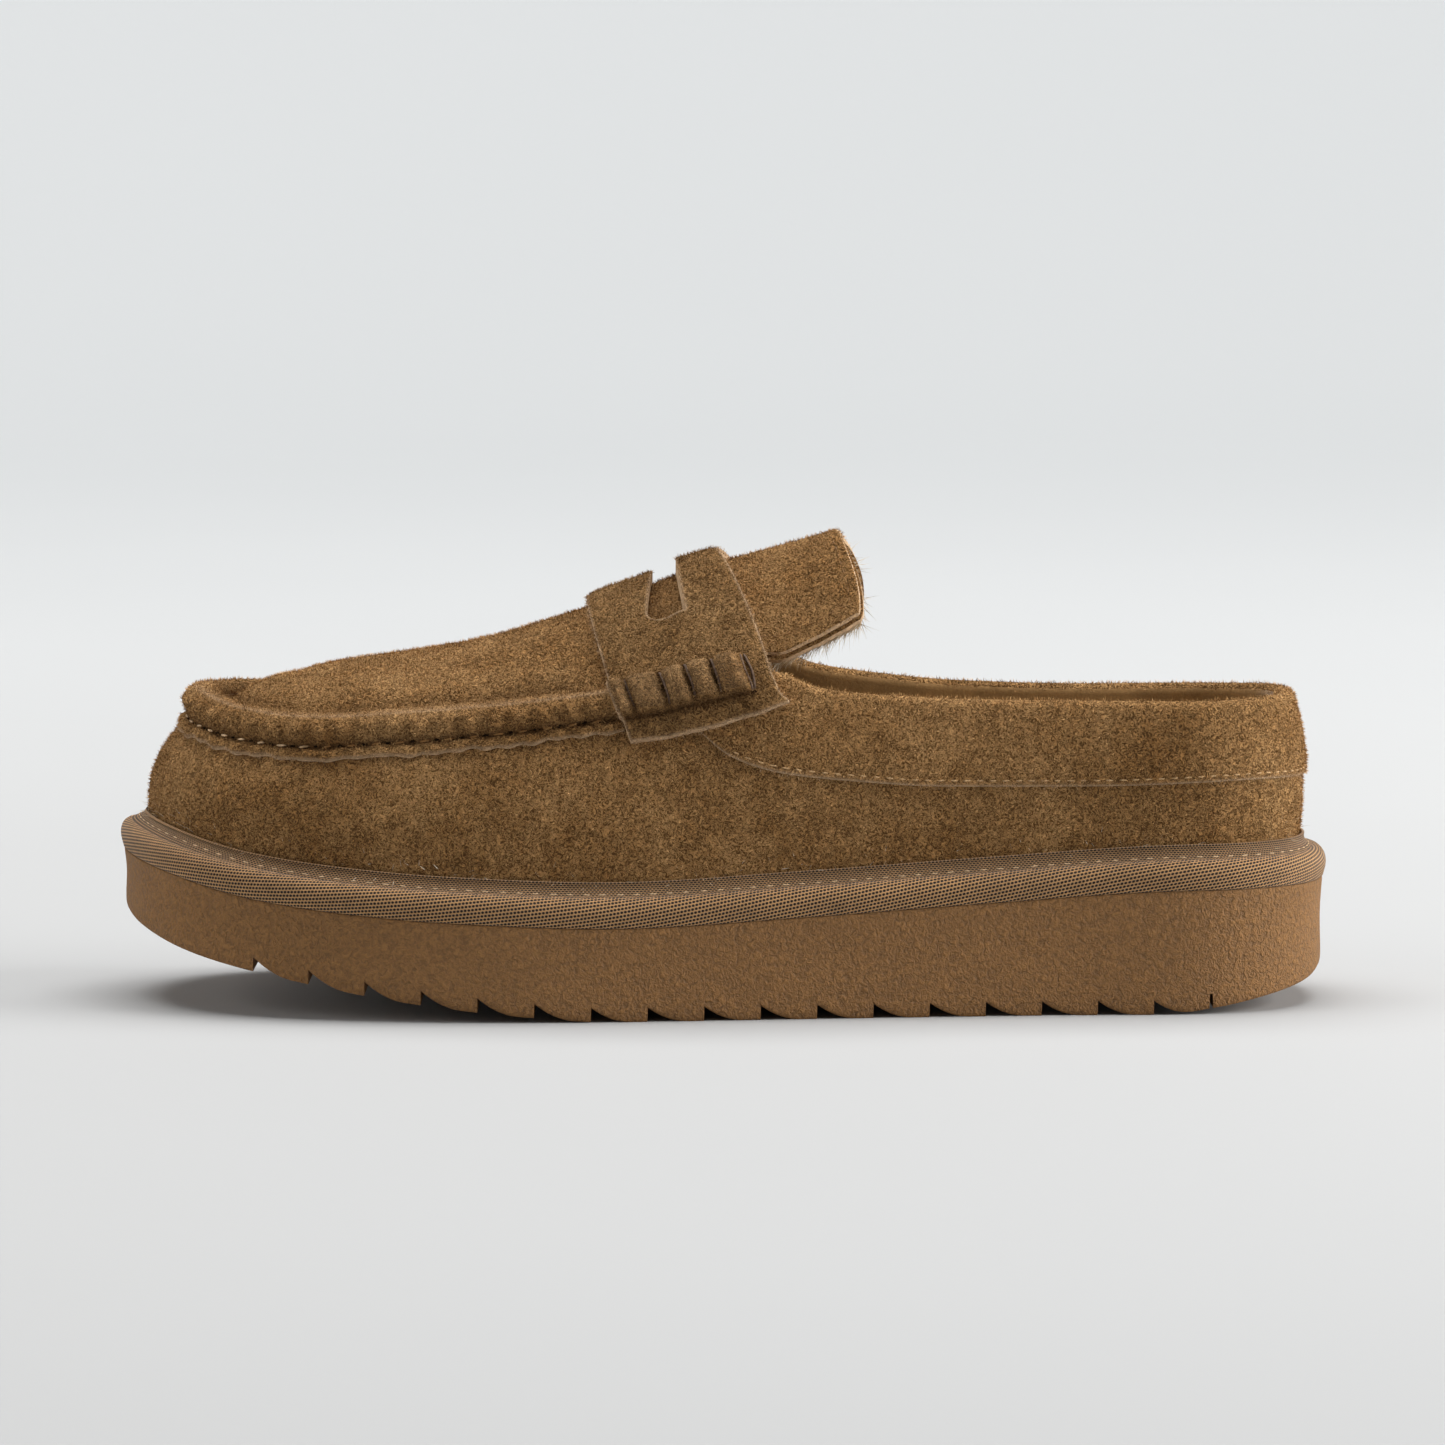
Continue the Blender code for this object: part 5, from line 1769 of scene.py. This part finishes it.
def make_roll_threads(name, side):
    """The dark threads that bind one end of the strap into rolls, two of them at the rear."""
    apart = 0.0007
    bm = bmesh.new()
    holes = bmesh.new()
    for number, t in enumerate(ROLL_ENDS[1:]):
        double = number == len(ROLL_ENDS) - 2
        for strand in (-1, 1) if double else (0,):
            line = []
            for step in range(25):
                c = ROLL_TOP + 0.10 + (ROLL_FOOT - ROLL_TOP - 0.18) * step / 24
                distance = c * END_ROLL_WIDTH / 2 - END_ROLL_DROP
                across = seam_place(distance)
                bow = 0.0006 * max(0.0, 1 - c * c) * (1 if number else 0.3)
                behind = END_ROLL_START + END_ROLL_LENGTH * t + strand * apart * (1 - 0.6 * abs(c)) + bow
                x = strap_front(across) - behind
                along = (x - strap_rear(across)) / strap_width(across)
                sink = 0.003 * max(0.0, c - ROLL_TOP + 0.18, ROLL_FOOT + 0.20 - c)
                lift = STRAP_THICKNESS + roll_bulge(across, along) + 0.0001 - sink
                point = over_strap(side * across, along, lift)
                line.append((point, strap_normal(side * across, along)))
            thread(bm, line, 0.00032)
            # A dark lozenge at each thread's foot: the painted shade of its hole
            foot, out = line[-2]
            hole_length = 0.0030 if number else 0.0018
            stitch(holes, foot - out * 0.0001, Vector((1, 0, 0.2)), out, hole_length, 0.0012)
    slot = "beefroll_lateral" if side > 0 else "beefroll_medial"
    dress(finish(name + "_holes", holes, dark_hole(name + "_hole")), slot)
    return dress(finish(name, bm, sewing_thread(name, DARK_THREAD, 0.6)), slot)


def tongue_layer(name, top_side, underside, inset, look, edge_look):
    """One layer of the tongue between two depths under its top surface, its edges set in by inset."""

    def place(a, b, top):
        across = (2 * a - 1) * (1 - inset / TONGUE_HALF)
        along = inset / TONGUE_LENGTH + b * (1 - inset / TONGUE_LENGTH)
        point, _ = under_tongue(across, along, top_side if top > 0.5 else underside)
        return point

    return finish(name, bent_slab(72, 56, place, hairy=everywhere), look, edge_look)


def flip_growth(obj):
    """Lets the pile grow from a slab's underside and edges instead of its top."""
    growth = obj.data.attributes["nap"]
    for value in growth.data:
        value.value = 1 - value.value


def make_tongue(look, edge_look, fleece_look):
    """Two layers of suede over a fleece."""
    upper_layer = tongue_layer("tongue_suede", 0.0, 0.0018, 0.0004, look, edge_look)
    settle(upper_layer, "BEVEL", width=0.0005, segments=2, limit_method="ANGLE", angle_limit=math.radians(60))
    dress(upper_layer, "tongue", "tongue")
    lower_layer = tongue_layer("tongue_backing", 0.0022, 0.0036, 0.0, look, edge_look)
    dress(lower_layer, "tongue")
    pile = tongue_layer("tongue_fleece", 0.0037, 0.0068, 0.0010, fleece_look, fleece_look)
    flip_growth(pile)
    dress(pile, "tongue")
    return upper_layer, pile


def make_tongue_stitches():
    bm = bmesh.new()

    def at(s):
        """Along the edge: up one side, across the end, and down the other."""
        across = clamp(s, -1, 1) * (1 - TONGUE_MARGIN / TONGUE_HALF)
        along = TONGUE_MARGIN / TONGUE_RUN + max(0.0, abs(s) - 1)
        return under_tongue(across, along, -0.00005)

    round_stitches(bm, at, -1.55, 1.55, 0.0027, 0.0017, 0.00040, 8)
    look = sewing_thread("tongue_thread", shade(SUEDE, 0.8)[:3])
    return dress(finish("tongue_stitches", bm, look), "tongue")


def make_stage():
    """A pale sweep: flat where the shoe stands, rising into a far wall all round."""
    bm = bmesh.new()
    flat, curve = 2.4, 1.2
    turns = np.linspace(0.1, math.pi / 2, 12)
    profile = [(0.0, 0.0), (1.6, 0.0), (flat, 0.0)]
    profile += [(flat + curve * math.sin(t), curve - curve * math.cos(t)) for t in turns]

    def place(a, b):
        radius, height = profile[round(b * (len(profile) - 1))]
        return radius * math.cos(2 * math.pi * a), radius * math.sin(2 * math.pi * a), height

    bent_sheet(bm, 96, len(profile) - 1, place)
    bmesh.ops.remove_doubles(bm, verts=bm.verts, dist=1e-5)
    floor = finish("floor", bm, paper_floor("paper"))
    floor.data.flip_normals()


def aim(obj, where, way):
    """Puts a lamp or camera here, looking this way."""
    obj.location = where
    obj.rotation_euler = way.to_track_quat("-Z", "Y").to_euler()


def make_light():
    """An overhead lamp, a weak fill and a stronger one on the heel's side."""
    world = bpy.data.worlds.new("room")
    world.use_nodes = True
    sky = world.node_tree.nodes["Background"]
    sky.inputs["Color"].default_value = DAYLIGHT
    sky.inputs["Strength"].default_value = WORLD_LIGHT
    bpy.context.scene.world = world
    for name, where, towards, size, power in LAMPS:
        data = bpy.data.lights.new(name, "AREA")
        data.shape = "RECTANGLE"
        data.size, data.size_y = size
        data.energy = power
        aim(put(name, data), where, Vector(towards) - Vector(where))


def make_camera():
    """The photograph's view."""
    data = bpy.data.cameras.new("camera")
    data.lens = CAMERA_LENS
    data.sensor_width = 36
    camera = put("camera", data)
    aim(camera, CAMERA_AT, Vector((0, -math.cos(CAMERA_PITCH), -math.sin(CAMERA_PITCH))))
    bpy.context.scene.camera = camera


def main():
    make_camera()
    make_light()
    make_stage()
    bpy.context.scene.view_settings.view_transform = "Standard"

    skin_look = suede("suede")
    strap_look = suede("strap_suede", level=0.76)
    edge_look = cut_edge("cut_edge")
    lining_look = velvet("lining", LINING)
    fleece_look = fleece("tongue_pile")
    fibre = nap("nap")
    strap_fibre = nap("strap_nap", 0.72)
    band_fibre = nap("band_nap", 1.05)
    wool = fleece_fibre("wool")

    make_outsole()
    make_tape()
    make_rand()
    make_tape_stitches()
    footbed = make_insole()
    upper = make_upper(skin_look, lining_look)
    seam = make_apron_roll(skin_look, edge_look)
    make_apron_stitches()
    band = make_collar_band(skin_look, edge_look, lining_look)
    make_band_stitches()
    strap = make_strap(strap_look, edge_look)
    make_roll_threads("roll_threads_outer", 1)
    make_roll_threads("roll_threads_inner", -1)
    tongue, tongue_pile = make_tongue(skin_look, edge_look, fleece_look)
    make_tongue_stitches()

    size = (NAP_COUNT, NAP_LENGTH, NAP_WIDTH)
    for base, slot, seed, look in (
        (upper, "upper", 21, fibre),
        (seam, "apron_roll", 31, fibre),
        (band, "collar_band", 41, band_fibre),
        (strap, "saddle_strap", 51, strap_fibre),
        (tongue, "tongue", 61, fibre),
    ):
        dress(grow(base.name + "_nap", base, look, *size, seed, spread=1.5, swirl=0.9), slot)
    forwards_and_down = (1.0, 0, -0.8)
    pile = grow("tongue_wool", tongue_pile, wool, *TONGUE_WOOL, 81, forwards_and_down, spread=0.9)
    dress(pile, "tongue")
    dress(grow("footbed_wool", footbed, wool, *FOOTBED_WOOL, 71, spread=1.2, swirl=0.9), "insole")


main()
